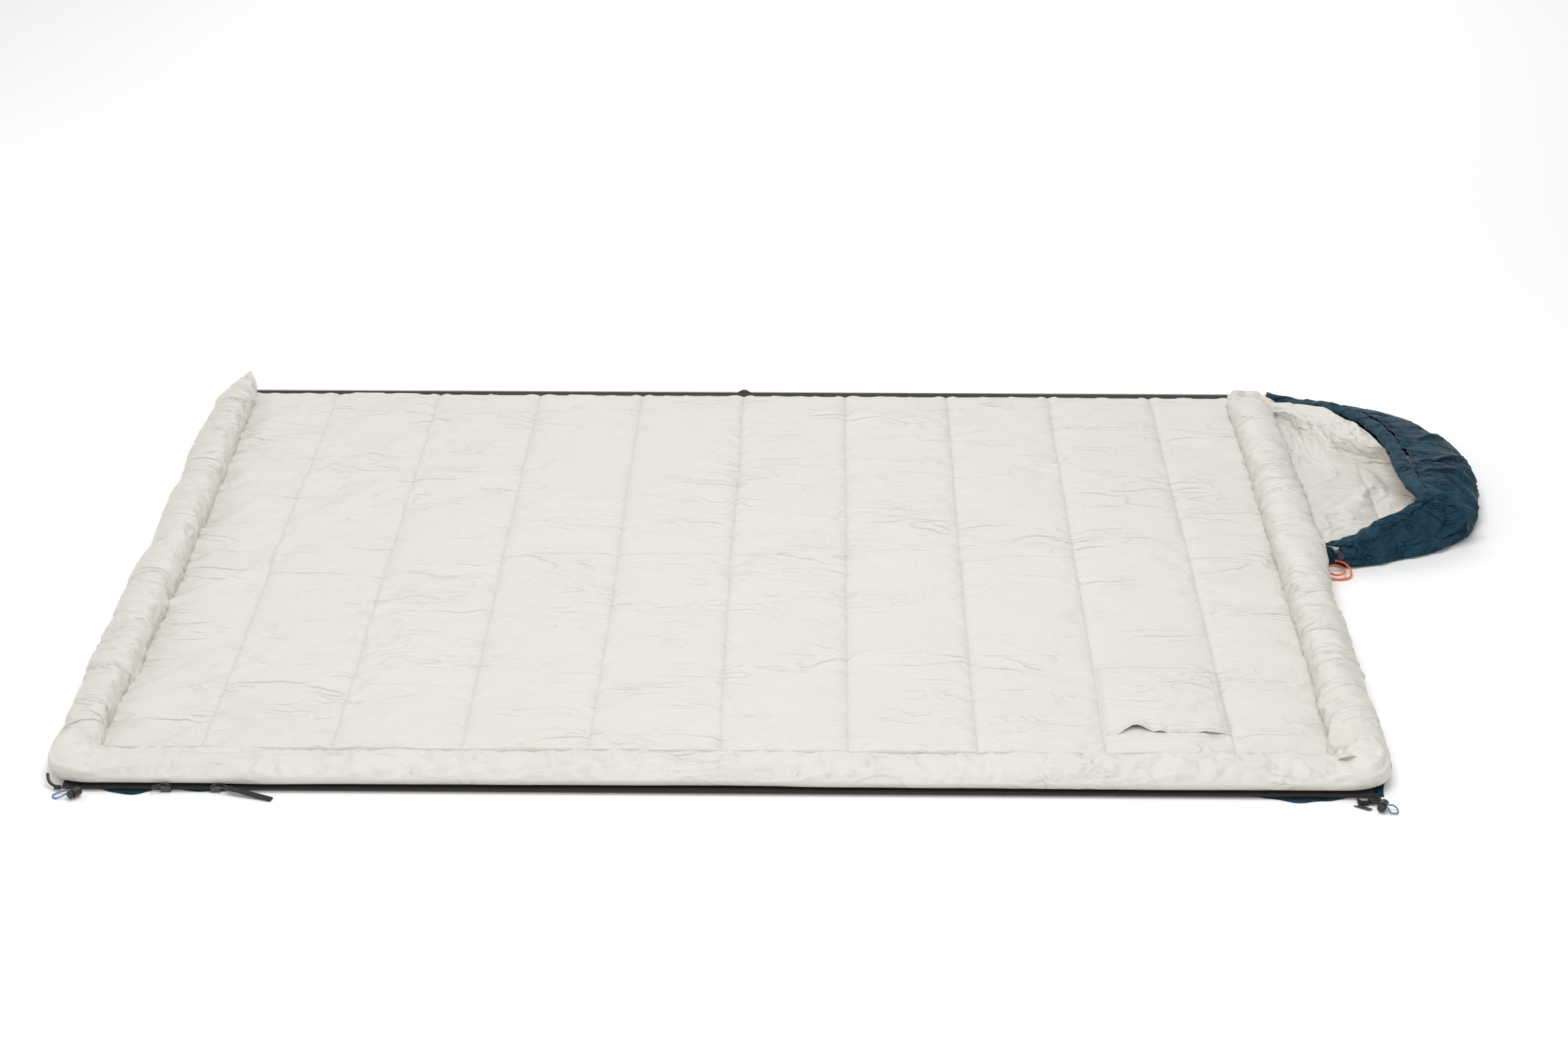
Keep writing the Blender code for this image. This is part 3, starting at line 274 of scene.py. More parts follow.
def stitches(name, paths, finish, length=0.0026, pitch=0.0036, radius=0.00032, lift=0.0):
    """Thread along seams: short six-sided bars with pointed ends, one after another."""
    turn = 2 * np.pi * np.arange(6) / 6
    points, faces = [], []
    count = 0
    for path in paths:
        path = np.asarray(path, float)
        at = lengths(path)
        middles = np.arange(pitch, at[-1] - pitch, pitch)
        ends = [
            np.stack([np.interp(middles + s * length / 2, at, path[:, k]) for k in range(3)], -1)
            for s in (-1, 1)
        ]
        ahead = ends[1] - ends[0]
        ahead /= np.linalg.norm(ahead, axis=1, keepdims=True)
        side = np.cross(ahead, (0.0, 0.0, 1.0))
        side /= np.linalg.norm(side, axis=1, keepdims=True)
        up = np.cross(side, ahead)
        rings = []
        for share, size, rise in ((0.0, 0.2, -0.6), (0.25, 1.0, 0.4), (0.75, 1.0, 0.4), (1.0, 0.2, -0.6)):
            centre = ends[0] + (ends[1] - ends[0]) * share + up * (radius * rise + lift)
            ring = side[:, None] * np.cos(turn)[:, None] + up[:, None] * np.sin(turn)[:, None]
            rings.append(centre[:, None] + ring * radius * size)
        block = np.stack(rings, 1)
        points.append(block.reshape(-1, 3))
        one = grid_faces(4, 6, wrap=True)
        faces.append((one[None] + (count + 24 * np.arange(len(block)))[:, None, None]).reshape(-1, 4))
        count += 24 * len(block)
    return mesh_piece(name, np.vstack(points), np.vstack(faces).tolist(), finish)


# Soft filling --------------------------------------------------------------------------
def puffed(points, held, wrap=False, pressure=2.0, spare=0.03, cap=0.01, frames=18, bend=0.3):
    """The grid of points after its cloth, cut larger by spare, has filled under pressure
    from inside. Points where held is 1 stay, and none moves further than cap."""
    rows, columns = points.shape[:2]
    data = bpy.data.meshes.new("cloth")
    faces = grid_faces(rows, columns, wrap)
    data.from_pydata(points.reshape(-1, 3).tolist(), [], (faces[:, ::-1] if wrap else faces).tolist())
    cloth = bpy.data.objects.new("cloth", data)
    bpy.context.scene.collection.objects.link(cloth)
    pins = cloth.vertex_groups.new(name="held")
    pins.add(np.flatnonzero(np.asarray(held).ravel() > 0.5).tolist(), 1.0, "ADD")
    settings = cloth.modifiers.new("cloth", "CLOTH").settings
    settings.quality = 4
    settings.mass = 0.2
    settings.tension_stiffness = 12.0
    settings.compression_stiffness = 6.0
    settings.shear_stiffness = 4.0
    settings.bending_stiffness = bend
    settings.use_pressure = True
    settings.uniform_pressure_force = pressure
    settings.shrink_min = -spare
    settings.vertex_group_mass = "held"
    settings.effector_weights.gravity = 0.0
    scene = bpy.context.scene
    for number in range(1, frames + 1):
        scene.frame_set(number)
    graph = bpy.context.evaluated_depsgraph_get()
    moved = np.empty(rows * columns * 3)
    cloth.evaluated_get(graph).data.vertices.foreach_get("co", moved)
    scene.frame_set(1)
    bpy.data.objects.remove(cloth)
    bpy.data.meshes.remove(data)
    step = moved.reshape(points.shape) - points
    size = np.linalg.norm(step, axis=-1, keepdims=True)
    return points + step * np.minimum(1.0, cap / np.maximum(size, 1e-9))


# Materials -----------------------------------------------------------------------------
def new_group(name, inputs, outputs):
    """A node group with number inputs and outputs, and its input and output nodes."""
    tree = bpy.data.node_groups.new(name, "ShaderNodeTree")
    for label, value in inputs.items():
        socket = tree.interface.new_socket(label, in_out="INPUT", socket_type="NodeSocketFloat")
        socket.default_value = value
    for label in outputs:
        tree.interface.new_socket(label, in_out="OUTPUT", socket_type="NodeSocketFloat")
    return tree, tree.nodes.new("NodeGroupInput"), tree.nodes.new("NodeGroupOutput")


def value_node(tree, operation, first, second=None, third=None):
    """A Math node on sockets or numbers, and its result."""
    node = tree.nodes.new("ShaderNodeMath")
    node.operation = operation
    for socket, source in zip(node.inputs, (first, second, third)):
        if isinstance(source, bpy.types.NodeSocket):
            tree.links.new(source, socket)
        elif source is not None:
            socket.default_value = source
    return node.outputs[0]


def noise_node(tree, vector, scale, detail, roughness=0.55, distortion=0.0):
    """A noise texture at a place given by vector, and its value."""
    node = tree.nodes.new("ShaderNodeTexNoise")
    node.noise_type = "FBM"
    tree.links.new(vector, node.inputs["Vector"])
    given = {"Scale": scale, "Detail": detail, "Roughness": roughness, "Distortion": distortion}
    for label, source in given.items():
        if isinstance(source, bpy.types.NodeSocket):
            tree.links.new(source, node.inputs[label])
        else:
            node.inputs[label].default_value = source
    return node.outputs["Fac"]


def weave_group():
    """Crossed threads: the sum of a sine along each axis, at so many threads a metre."""
    tree, given, made = new_group("crossed_threads", {"Threads": 1800.0}, ["Height"])
    place = tree.nodes.new("ShaderNodeTexCoord")
    parts = tree.nodes.new("ShaderNodeSeparateXYZ")
    tree.links.new(place.outputs["Object"], parts.inputs[0])
    total = 0.0
    for axis in parts.outputs:
        turns = value_node(tree, "MULTIPLY", axis, given.outputs["Threads"])
        wave = value_node(tree, "SINE", value_node(tree, "MULTIPLY", turns, 2 * math.pi))
        total = value_node(tree, "ADD", wave, total)
    tree.links.new(total, made.inputs["Height"])
    return tree


def crease_group():
    """Soft swells, and creases: thin lines where stretched and bent noise crosses its middle,
    coarse ones leaning one way and fine ones the other, and only where a wide noise is high."""
    tree, given, made = new_group(
        "creased_cloth", {"Swell scale": 12.0, "Crease scale": 30.0, "Creases": 0.5}, ["Height", "Tone"]
    )
    place = tree.nodes.new("ShaderNodeTexCoord")
    spot = place.outputs["Object"]
    swell = noise_node(tree, spot, given.outputs["Swell scale"], 3.0, distortion=0.6)
    total = swell
    for turn, stretch, times, share, power in (
        (0.95, 3.0, 1.0, 1.0, 9.0), (-0.95, 2.4, 2.1, 0.60, 7.0), (0.40, 1.8, 4.6, 0.30, 5.0)
    ):
        lean = tree.nodes.new("ShaderNodeMapping")
        lean.inputs["Rotation"].default_value = (0.0, 0.0, -turn)
        lean.inputs["Scale"].default_value = (1.0, stretch, 1.6)
        tree.links.new(spot, lean.inputs["Vector"])
        scale = value_node(tree, "MULTIPLY", given.outputs["Crease scale"], times)
        fold = noise_node(tree, lean.outputs[0], scale, 1.5, roughness=0.4, distortion=0.5)
        off = value_node(tree, "ABSOLUTE", value_node(tree, "MULTIPLY_ADD", fold, 2.4, -1.2))
        near = value_node(tree, "MAXIMUM", value_node(tree, "SUBTRACT", 1.0, off), 0.0)
        line = value_node(tree, "POWER", near, power)
        wide = noise_node(tree, lean.outputs[0], value_node(tree, "MULTIPLY", scale, 0.35), 1.0)
        mask = value_node(tree, "MULTIPLY_ADD", wide, 5.0, -2.3)
        mask.node.use_clamp = True
        part = value_node(tree, "MULTIPLY", line, mask)
        part = value_node(tree, "MULTIPLY", part, given.outputs["Creases"])
        total = value_node(tree, "MULTIPLY_ADD", part, share, total)
    tree.links.new(total, made.inputs["Height"])
    tree.links.new(swell, made.inputs["Tone"])
    return tree


def grain_group():
    """Fine even grain, as on moulded plastic and lacquer."""
    tree, given, made = new_group("fine_grain", {"Scale": 900.0}, ["Height", "Tone"])
    place = tree.nodes.new("ShaderNodeTexCoord")
    fine = noise_node(tree, place.outputs["Object"], given.outputs["Scale"], 4.0)
    wide = noise_node(tree, place.outputs["Object"], 60.0, 2.0)
    tree.links.new(fine, made.inputs["Height"])
    tree.links.new(wide, made.inputs["Tone"])
    return tree


WEAVE, CREASE, GRAIN = weave_group(), crease_group(), grain_group()


def use_group(tree, group, **values):
    """A node group placed in a material's tree, with its inputs set."""
    node = tree.nodes.new("ShaderNodeGroup")
    node.node_tree = group
    for label, value in values.items():
        node.inputs[label.replace("_", " ")].default_value = value
    return node


def mixed_colour(tree, factor, dark, light):
    """A colour that runs from dark to light as factor runs from 0 to 1."""
    node = tree.nodes.new("ShaderNodeMix")
    node.data_type = "RGBA"
    node.inputs["A"].default_value = (*dark, 1.0)
    node.inputs["B"].default_value = (*light, 1.0)
    tree.links.new(factor, node.inputs["Factor"])
    return node.outputs["Result"]


def bumped(tree, height, distance, strength=1.0, under=None):
    """A Bump node's normal, over another one where under is given."""
    node = tree.nodes.new("ShaderNodeBump")
    node.inputs["Strength"].default_value = strength
    node.inputs["Distance"].default_value = distance
    tree.links.new(height, node.inputs["Height"])
    if under is not None:
        tree.links.new(under, node.inputs["Normal"])
    return node.outputs["Normal"]


def new_material(name, roughness, metallic=0.0, sheen=0.0, coat=0.0):
    """A material with its Principled shader set, its node tree and that shader."""
    made = bpy.data.materials.new(name)
    made.use_nodes = True
    tree = made.node_tree
    shader = tree.nodes["Principled BSDF"]
    shader.inputs["Roughness"].default_value = roughness
    shader.inputs["Metallic"].default_value = metallic
    shader.inputs["Sheen Weight"].default_value = sheen
    shader.inputs["Coat Weight"].default_value = coat
    return made, tree, shader


def cloth_material(name, dark, light, roughness, threads, thread_depth, swell, crease, creases, depth,
                   sheen=0.0, coat=0.0):
    """Woven cloth: crossed threads over creases, and a tone that drifts between two colours."""
    made, tree, shader = new_material(name, roughness, sheen=sheen, coat=coat)
    weave = use_group(tree, WEAVE, Threads=threads)
    folds = use_group(tree, CREASE, Swell_scale=swell, Crease_scale=crease, Creases=creases)
    first = bumped(tree, folds.outputs["Height"], depth)
    normal = bumped(tree, weave.outputs["Height"], thread_depth, 0.6, first)
    tree.links.new(mixed_colour(tree, folds.outputs["Tone"], dark, light), shader.inputs["Base Color"])
    tree.links.new(normal, shader.inputs["Normal"])
    return made


def hard_material(name, dark, light, roughness, scale, depth, metallic=0.0, coat=0.0):
    """Plastic or lacquer: fine grain, and a tone that drifts a little."""
    made, tree, shader = new_material(name, roughness, metallic, coat=coat)
    grain = use_group(tree, GRAIN, Scale=scale)
    tree.links.new(mixed_colour(tree, grain.outputs["Tone"], dark, light), shader.inputs["Base Color"])
    tree.links.new(bumped(tree, grain.outputs["Height"], depth), shader.inputs["Normal"])
    return made


LINING = cloth_material("lining_cloth", (0.655, 0.628, 0.570), (0.700, 0.675, 0.618), 0.45,
                        1500.0, 0.00006, 6.0, 9.0, 0.75, 0.0036, sheen=0.10)
# Painted shade: the end rolls are the lining's cream cloth, coloured darker than the lining to stand for
# the shade on their rounded sides.
ROLL_CLOTH_PAINTED_SHADE = cloth_material("roll_cloth_painted_shade", (0.615, 0.588, 0.528), (0.665, 0.640, 0.580), 0.33,
                       1500.0, 0.00004, 9.0, 12.0, 0.70, 0.0042, sheen=0.05)
NAVY = cloth_material("shell_cloth", (0.0050, 0.0300, 0.0530), (0.0150, 0.0620, 0.0980), 0.40,
                      1300.0, 0.00008, 24.0, 20.0, 1.0, 0.0070)
NAVY.node_tree.nodes["Principled BSDF"].inputs["Specular IOR Level"].default_value = 0.14
TAPE = cloth_material("zip_tape_cloth", (0.012, 0.011, 0.011), (0.022, 0.020, 0.019), 0.75,
                      900.0, 0.00015, 30.0, 60.0, 0.2, 0.0005)
THREAD = cloth_material("thread", (0.62, 0.59, 0.53), (0.70, 0.67, 0.60), 0.6,
                        3000.0, 0.00004, 60.0, 90.0, 0.2, 0.0001)
DARK_THREAD = cloth_material("dark_thread", (0.010, 0.030, 0.060), (0.014, 0.040, 0.080), 0.6,
                             3000.0, 0.00004, 60.0, 90.0, 0.2, 0.0001)
BLUE = cloth_material("blue_elastic", (0.07, 0.17, 0.30), (0.11, 0.26, 0.44), 0.6,
                      1600.0, 0.00012, 60.0, 90.0, 0.2, 0.0002, sheen=0.2)
ORANGE = cloth_material("orange_cord", (0.90, 0.13, 0.02), (1.00, 0.20, 0.04), 0.55,
                        1300.0, 0.00020, 60.0, 90.0, 0.2, 0.0002, sheen=0.2)
COIL = hard_material("coil_nylon", (0.030, 0.022, 0.016), (0.050, 0.038, 0.028), 0.38, 1500.0, 0.00003)
PLASTIC = hard_material("black_acetal", (0.012, 0.012, 0.013), (0.022, 0.022, 0.023), 0.34, 1400.0, 0.00003)
LACQUER = hard_material("lacquered_zinc", (0.045, 0.045, 0.047), (0.075, 0.075, 0.078), 0.28, 1100.0,
                        0.00003, metallic=0.9, coat=0.5)
STEEL = hard_material("spring_wire", (0.45, 0.45, 0.46), (0.58, 0.58, 0.59), 0.28, 1100.0,
                      0.00002, metallic=1.0)
STRAP = hard_material("dark_strap", (0.030, 0.036, 0.040), (0.050, 0.058, 0.064), 0.35, 900.0,
                      0.00004, coat=0.3)
WADDING = cloth_material("wadding", (0.80, 0.80, 0.78), (0.88, 0.88, 0.86), 0.9,
                         700.0, 0.0003, 40.0, 80.0, 0.5, 0.001)
FLOOR = cloth_material("paper_floor", (0.94, 0.94, 0.94), (0.95, 0.95, 0.95), 0.85,
                       400.0, 0.00001, 2.0, 4.0, 0.1, 0.00001)

NODE_FINISH = {
    "lining": LINING, "shell": NAVY, "filling": WADDING, "tape": TAPE, "coil": COIL,
    "hardware": PLASTIC, "black_metal": LACQUER, "spring_steel": STEEL, "blue_cord": BLUE,
    "orange_cord": ORANGE, "strap": STRAP,
}


def finish_frame():
    """Every CAD node that stays in sight gets the material of its slot."""
    for part in frame["record"]["subparts"]:
        node = frame["nodes"][part["node"]]
        node.data.materials.clear()
        node.data.materials.append(NODE_FINISH[part["material_slot"]])


# Camera, floor and light ---------------------------------------------------------------
LENS = 72.43
EYE = (0.1485, -4.5775, 2.1265)
EYE_DOWN = 24.148          # degrees below level
EYE_TURN = 0.824           # degrees to the left
FLOOR_HALF = 40.0
FLOOR_Z = -0.0005
SKY = 0.60
LAMPS = (                  # name, place, aim, size, power
    ("overhead", (0.1, -0.6, 2.9), (0.1, -0.3, 0.0), 1.6, 41.0),
    ("side", (-3.2, 0.6, 1.7), (0.0, 0.0, 0.0), 1.4, 18.0),
    ("front", (0.3, -3.6, 1.4), (0.2, -0.6, 0.0), 2.4, 25.0),
    ("back", (0.3, 4.0, 3.0), (0.2, 2.8, 0.0), 2.6, 60.0),
)


def stage():
    """The camera, a pale floor, an even white sky and four soft lamps."""
    data = bpy.data.cameras.new("camera")
    data.lens = LENS
    data.sensor_width = 36.0
    eye = bpy.data.objects.new("camera", data)
    bpy.context.scene.collection.objects.link(eye)
    eye.location = EYE
    eye.rotation_euler = (math.radians(90.0 - EYE_DOWN), 0.0, math.radians(EYE_TURN))
    bpy.context.scene.camera = eye

    sides = (-FLOOR_HALF, FLOOR_HALF)
    corners = np.array([[[x, y, FLOOR_Z] for y in sides] for x in sides])
    floor = sheet_piece("floor", corners, FLOOR)

    bpy.context.scene.view_settings.view_transform = "Standard"
    world = bpy.data.worlds.new("studio")
    bpy.context.scene.world = world
    world.use_nodes = True
    back = world.node_tree.nodes["Background"]
    back.inputs["Color"].default_value = (1.0, 1.0, 1.0, 1.0)
    back.inputs["Strength"].default_value = SKY
    for name, place, aim, size, power in LAMPS:
        light = bpy.data.lights.new(name, "AREA")
        light.size = size
        light.energy = power
        lamp = bpy.data.objects.new(name, light)
        bpy.context.scene.collection.objects.link(lamp)
        lamp.location = place
        lamp.rotation_euler = (Vector(aim) - Vector(place)).to_track_quat("-Z", "Y").to_euler()


# Cords ----------------------------------------------------------------------------------
def cord_curve(name, points, diameter, finish, body):
    """A round cord on the smooth curve through its points."""
    path = resample(along(points, np.linspace(0.0, 1.0, 8 * len(points))), diameter * 0.7)
    data = bpy.data.curves.new(name, "CURVE")
    data.dimensions = "3D"
    data.bevel_depth = diameter / 2
    data.bevel_resolution = 3
    data.use_fill_caps = True
    line = data.splines.new("POLY")
    line.points.add(len(path) - 1)
    line.points.foreach_set("co", np.hstack([path, np.ones((len(path), 1))]).ravel())
    line.use_smooth = True
    data.materials.append(finish)
    piece = bpy.data.objects.new(name, data)
    bpy.context.scene.collection.objects.link(piece)
    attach(piece, body)
    return piece, float(lengths(path)[-1])


def free_cords():
    """The three loops that hang free at the cord locks."""
    foot = [
        (-0.88802, -0.76551, 0.00725), (-0.90000, -0.76320, 0.00420), (-0.91100, -0.76550, 0.00180),
        (-0.91600, -0.77270, 0.00135), (-0.91080, -0.77950, 0.00135), (-0.90100, -0.77660, 0.00350),
        (-0.89162, -0.77031, 0.00725),
    ]
    s, e = np.array((0.92297, -0.78309, 0.00725)), np.array((0.91982, -0.78989, 0.00725))
    head = [
        s, s + (0.006, 0.0015, -0.0015), s + (0.011, -0.0045, -0.0045),
        s + (0.0085, -0.0125, -0.0058), e + (0.003, -0.006, -0.0045), e,
    ]
    s = np.array((0.960, -0.008, 0.018))
    hood = [s] + [s + step for step in (
        (0.013, -0.004, -0.002), (0.023, -0.014, -0.009), (0.021, -0.029, -0.015),
        (0.006, -0.037, -0.016), (-0.011, -0.033, -0.016), (-0.0175, -0.017, -0.015),
        (-0.012, -0.003, -0.010), (0.004, -0.003, -0.0075), (0.013, -0.013, -0.0095),
        (0.0115, -0.025, -0.011), (-0.001, -0.031, -0.0115), (-0.010, -0.025, -0.011),
    )]
    for name, points, diameter, finish, slot, body, node, end in (
        ("foot_loop", foot, 0.0022, BLUE, "blue_cord", "near_half", "foot_cord_loop", "object"),
        ("head_loop", head, 0.0022, BLUE, "blue_cord", "near_half", "head_cord_loop", "object"),
        ("hood_loop", hood, 0.0032, ORANGE, "orange_cord", "hood", "hood_pull_cord", "bare"),
    ):
        piece, length = cord_curve(name, points, diameter, finish, body)
        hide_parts(node)


# The quilted middle ---------------------------------------------------------------------
def seam_x(k, y):
    """Where cross seam k runs: on its pitch, wandering a few millimetres."""
    return k * PITCH + 0.0035 * drift(y * 2.6 + k * 5.3, k * 2.7 + 0 * y, 11, 2)


def foot_seam(y):
    """X of the seam between lining and foot roll: a shallow arc."""
    return -0.8670 - 0.010 * ((y - 0.02) / 0.69) ** 2 + 0.0012 * drift(y * 18, 0 * y, 12, 2)


def head_seam(y):
    """X of the seam between lining and head roll."""
    return 0.8660 + 0.0012 * drift(y * 18, 0 * y, 13, 2)


COLUMNS_A_PANEL = 14       # while it fills; afterwards the columns crowd in at the seams
ROWS = 126
CLOSE_UP = (0.0, 0.006, 0.014, 0.026, 0.045, 0.075, 0.115, 0.165, 0.225, 0.290, 0.360, 0.430)
PANEL_SHARES = np.array([*CLOSE_UP, 0.5, *[1 - s for s in CLOSE_UP[:0:-1]]])
CLOSED_Z = 0.0030          # the lining's padding is closed below at this height
GROOVE = 0.0017            # depth and width of the line that a row of stitches pulls in
GROOVE_WIDTH = 0.0021
FOLD_CREASE = 0.0034       # depth and width of the crease down the middle
FOLD_CREASE_WIDTH = 0.0028


def quilt_grid():
    """The lining at rest: columns share out each panel between its two seams, rows run from
    the near border to the far edge. Height is the seam's plus a puff that rises from each
    seam as 1 - exp(-distance), falling to the edges."""
    y = NEAR_Y + (FAR_Y - NEAR_Y) * np.linspace(0.0, 1.0, ROWS)
    lines = [foot_seam(y) - END_LAP] + [seam_x(k, y) for k in range(-4, 5)] + [head_seam(y) + END_LAP]
    share = np.arange(COLUMNS_A_PANEL) / COLUMNS_A_PANEL
    x = np.concatenate([a + (b - a) * share[:, None] for a, b in zip(lines, lines[1:])] + [lines[-1][None]])
    y = np.broadcast_to(y, x.shape)
    share = np.append(np.tile(share, len(lines) - 1), 1.0)[:, None]
    away = np.minimum(share, 1 - share) * PITCH
    edge = np.minimum(ease((y - NEAR_Y) / 0.030), ease((FAR_Y - y) / 0.06))
    far = np.clip((FAR_Y - y) / 0.060, 0.0, 1.0) ** 0.7
    z = VALLEY_Z + PUFF * (1 - np.exp(-away / 0.020)) * (0.35 + 0.65 * edge)
    z = 0.0075 + (z - 0.0075) * far
    z = z + 0.0013 * drift(x * 6, y * 6, 22, 2)
    left = 0.15 + 0.85 * ease((-x - 0.25) / 0.45)
    bent = 0.35 * drift(x * 5, y * 5, 25, 2)
    lean = (x - 0.75 * y) * 9 + bent, (y + 0.7 * x) * 2.2 + bent
    z = z + 0.0060 * (ridges(*lean, 23, 2) ** 1.8 - 0.22) * left * edge
    near = ease((-0.42 - y) / 0.25)
    z = z + 0.0022 * (ridges((x + y) * 13 + bent, (y - x) * 6, 26, 2) - 0.3) * near * edge
    return np.stack([x, y, z], -1)


def quilt_top():
    """The lining filled from inside, then with a groove and puckers along each cross seam
    and the crease down the middle. Gives the piece, the seams' paths and its points."""
    points = quilt_grid()
    panels = (len(points) - 1) // COLUMNS_A_PANEL
    held = np.zeros(points.shape[:2])
    held[::COLUMNS_A_PANEL] = 1.0
    held[:, [0, -1]] = 1.0
    points = puffed(points, held, pressure=0.25, spare=0.020, cap=0.0025, bend=0.05)
    at = np.append((np.arange(panels)[:, None] + PANEL_SHARES[None]).ravel(), panels)
    points = refit(points, at * COLUMNS_A_PANEL, 0)
    steps = np.arange(ROWS * 2 - 1) / 2
    middle = (FOLD_Y - NEAR_Y) / (FAR_Y - NEAR_Y) * (ROWS - 1)
    crease_steps = middle + np.array([-0.5, -0.3, -0.15, 0.0, 0.15, 0.3, 0.5])
    steps = np.unique(np.concatenate([steps, crease_steps]))
    points = refit(points, steps, 1)
    x, y = points[..., 0], points[..., 1]
    away = np.abs(at - np.round(at))[:, None] * PITCH
    some = 0.25 + 0.75 * ease(0.5 + 1.5 * drift(x * 5.3, y * 5, 27, 2))
    points[..., 2] += 0.0009 * some * np.exp(-((away / 0.018) ** 2)) * drift(y * 44, x * 14, 24, 2)
    points[..., 2] -= GROOVE * np.exp(-((away / GROOVE_WIDTH) ** 2))
    crease = np.exp(-(((y - FOLD_Y) / FOLD_CREASE_WIDTH) ** 2))
    crease = crease * ease(0.35 + 1.6 * drift(x * 4.0, 0 * x, 21, 2))
    points[..., 2] -= FOLD_CREASE * crease
    points[..., 2] += 0.0024 * np.exp(-(((y - FOLD_Y - 0.009) / 0.008) ** 2)) * drift(x * 9, 0 * x, 28, 2)
    piece = lined_piece("quilted_lining", points, CLOSED_Z, LINING)
    seams = np.arange(1, panels) * len(PANEL_SHARES)
    return piece, [points[s] for s in seams], points


def bend_across(piece):
    """The piece's transform, baked into its mesh."""
    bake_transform(piece)


def quilt():
    """The quilted middle and the thread of its cross seams. Gives the lining's points."""
    top, paths, points = quilt_top()
    bend_across(top)
    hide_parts("near_lining", "far_lining", "near_insulation", "far_insulation")
    sewn = stitches("cross_seam_thread", paths, THREAD, lift=0.0002)
    bend_across(sewn)
    return points


# End rolls and the near border -------------------------------------------------------------
def ovals(centre, half, low, high, sides, flat=0.85, under=0.85):
    """Rings around a path: each an oval with the horizontal half axis `half`, between the
    heights low and high, squarer in section above and below as flat and under fall from 1.
    They start at the end of half and go down first."""
    turn = 2 * np.pi * np.arange(sides) / sides
    c, s = np.cos(turn), np.sin(turn)
    power = np.where(s > 0, under, flat)
    wide = (np.sign(c) * np.abs(c) ** power)[None, :, None]
    tall = (np.sign(s) * np.abs(s) ** power)[None, :]
    rings = centre[:, None, :] + half[:, None, :] * wide
    middle, reach = (low + high) / 2, (high - low) / 2
    rings[..., 2] = middle[:, None] - reach[:, None] * tall
    return rings


ROLL_SIDES = 24
ROLL_RINGS = 190
ROLL_NEAR_Y = -0.700
FOOT_ROLL_FAR_Y = 0.712
HEAD_ROLL_FAR_Y = 0.700
FOOT_ROLL_TOP = 0.0545
HEAD_ROLL_TOP = 0.0555
CORNER_FALL = 0.017        # the rolls' tops sink as they go under the border's corners
HELD_Z = 0.012             # the rolls' cloth below this height doesn't move as they fill
BORDER_SIDES = 26
OVER_COIL_Z = 0.0068       # where the border hangs over the zip's coil


def roll_rings(inner, outer, y, top, seed, gather_near, gather_far):
    """One end roll from rings square to Y. Its height swells and pinches at random along
    the roll; pleats run around it, and are deepest at its two ends."""
    count = len(y)
    low = np.full(count, FILL_Z)
    lumps = 1 + 0.045 * drift(y * 8, 0 * y, seed, 2)
    middle = np.stack([(inner + outer) / 2, y, 0 * y], -1)
    half = np.stack([np.abs(outer - inner) / 2 * lumps, 0 * y, 0 * y], -1)
    rings = ovals(middle, half, low, top * lumps, ROLL_SIDES, flat=0.95)
    turn = np.arange(ROLL_SIDES) / ROLL_SIDES
    at, around = np.meshgrid(y, turn, indexing="ij")
    centre = rings.mean(1, keepdims=True)
    near = ease(1 - (at - y[0]) / 0.10) * gather_near
    far = ease(1 - (y[-1] - at) / 0.09) * gather_far
    pleat = 0.02 * drift(at * 15 + 2.0 * around, np.cos(2 * np.pi * around) * 2, seed + 1, 2)
    pleat += 0.06 * (ridges(at * 7 + 5.0 * around, around * 2.5, seed + 2, 2) ** 1.6 - 0.25)
    pleat += (near + far) * 0.22 * drift(around * 9, at * 6, seed + 3, 1)
    upper = ease((rings[..., 2] - FILL_Z) / 0.02)
    return centre + (rings - centre) * (1 + pleat * upper)[..., None]


def roll(name, rings, nodes):
    """One end roll, filled from inside."""
    held = rings[..., 2] < HELD_Z
    held[[0, -1]] = True
    rings = puffed(rings, held, wrap=True, pressure=3.0, spare=0.035, cap=0.005, bend=0.6)
    rings = finer(rings, wrap=True)
    # The roll's cloth is the lining's cream with painted shade: darker than the lining.
    piece = tube_piece(name, rings, ROLL_CLOTH_PAINTED_SHADE)
    bend_across(piece)
    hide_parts(*nodes)


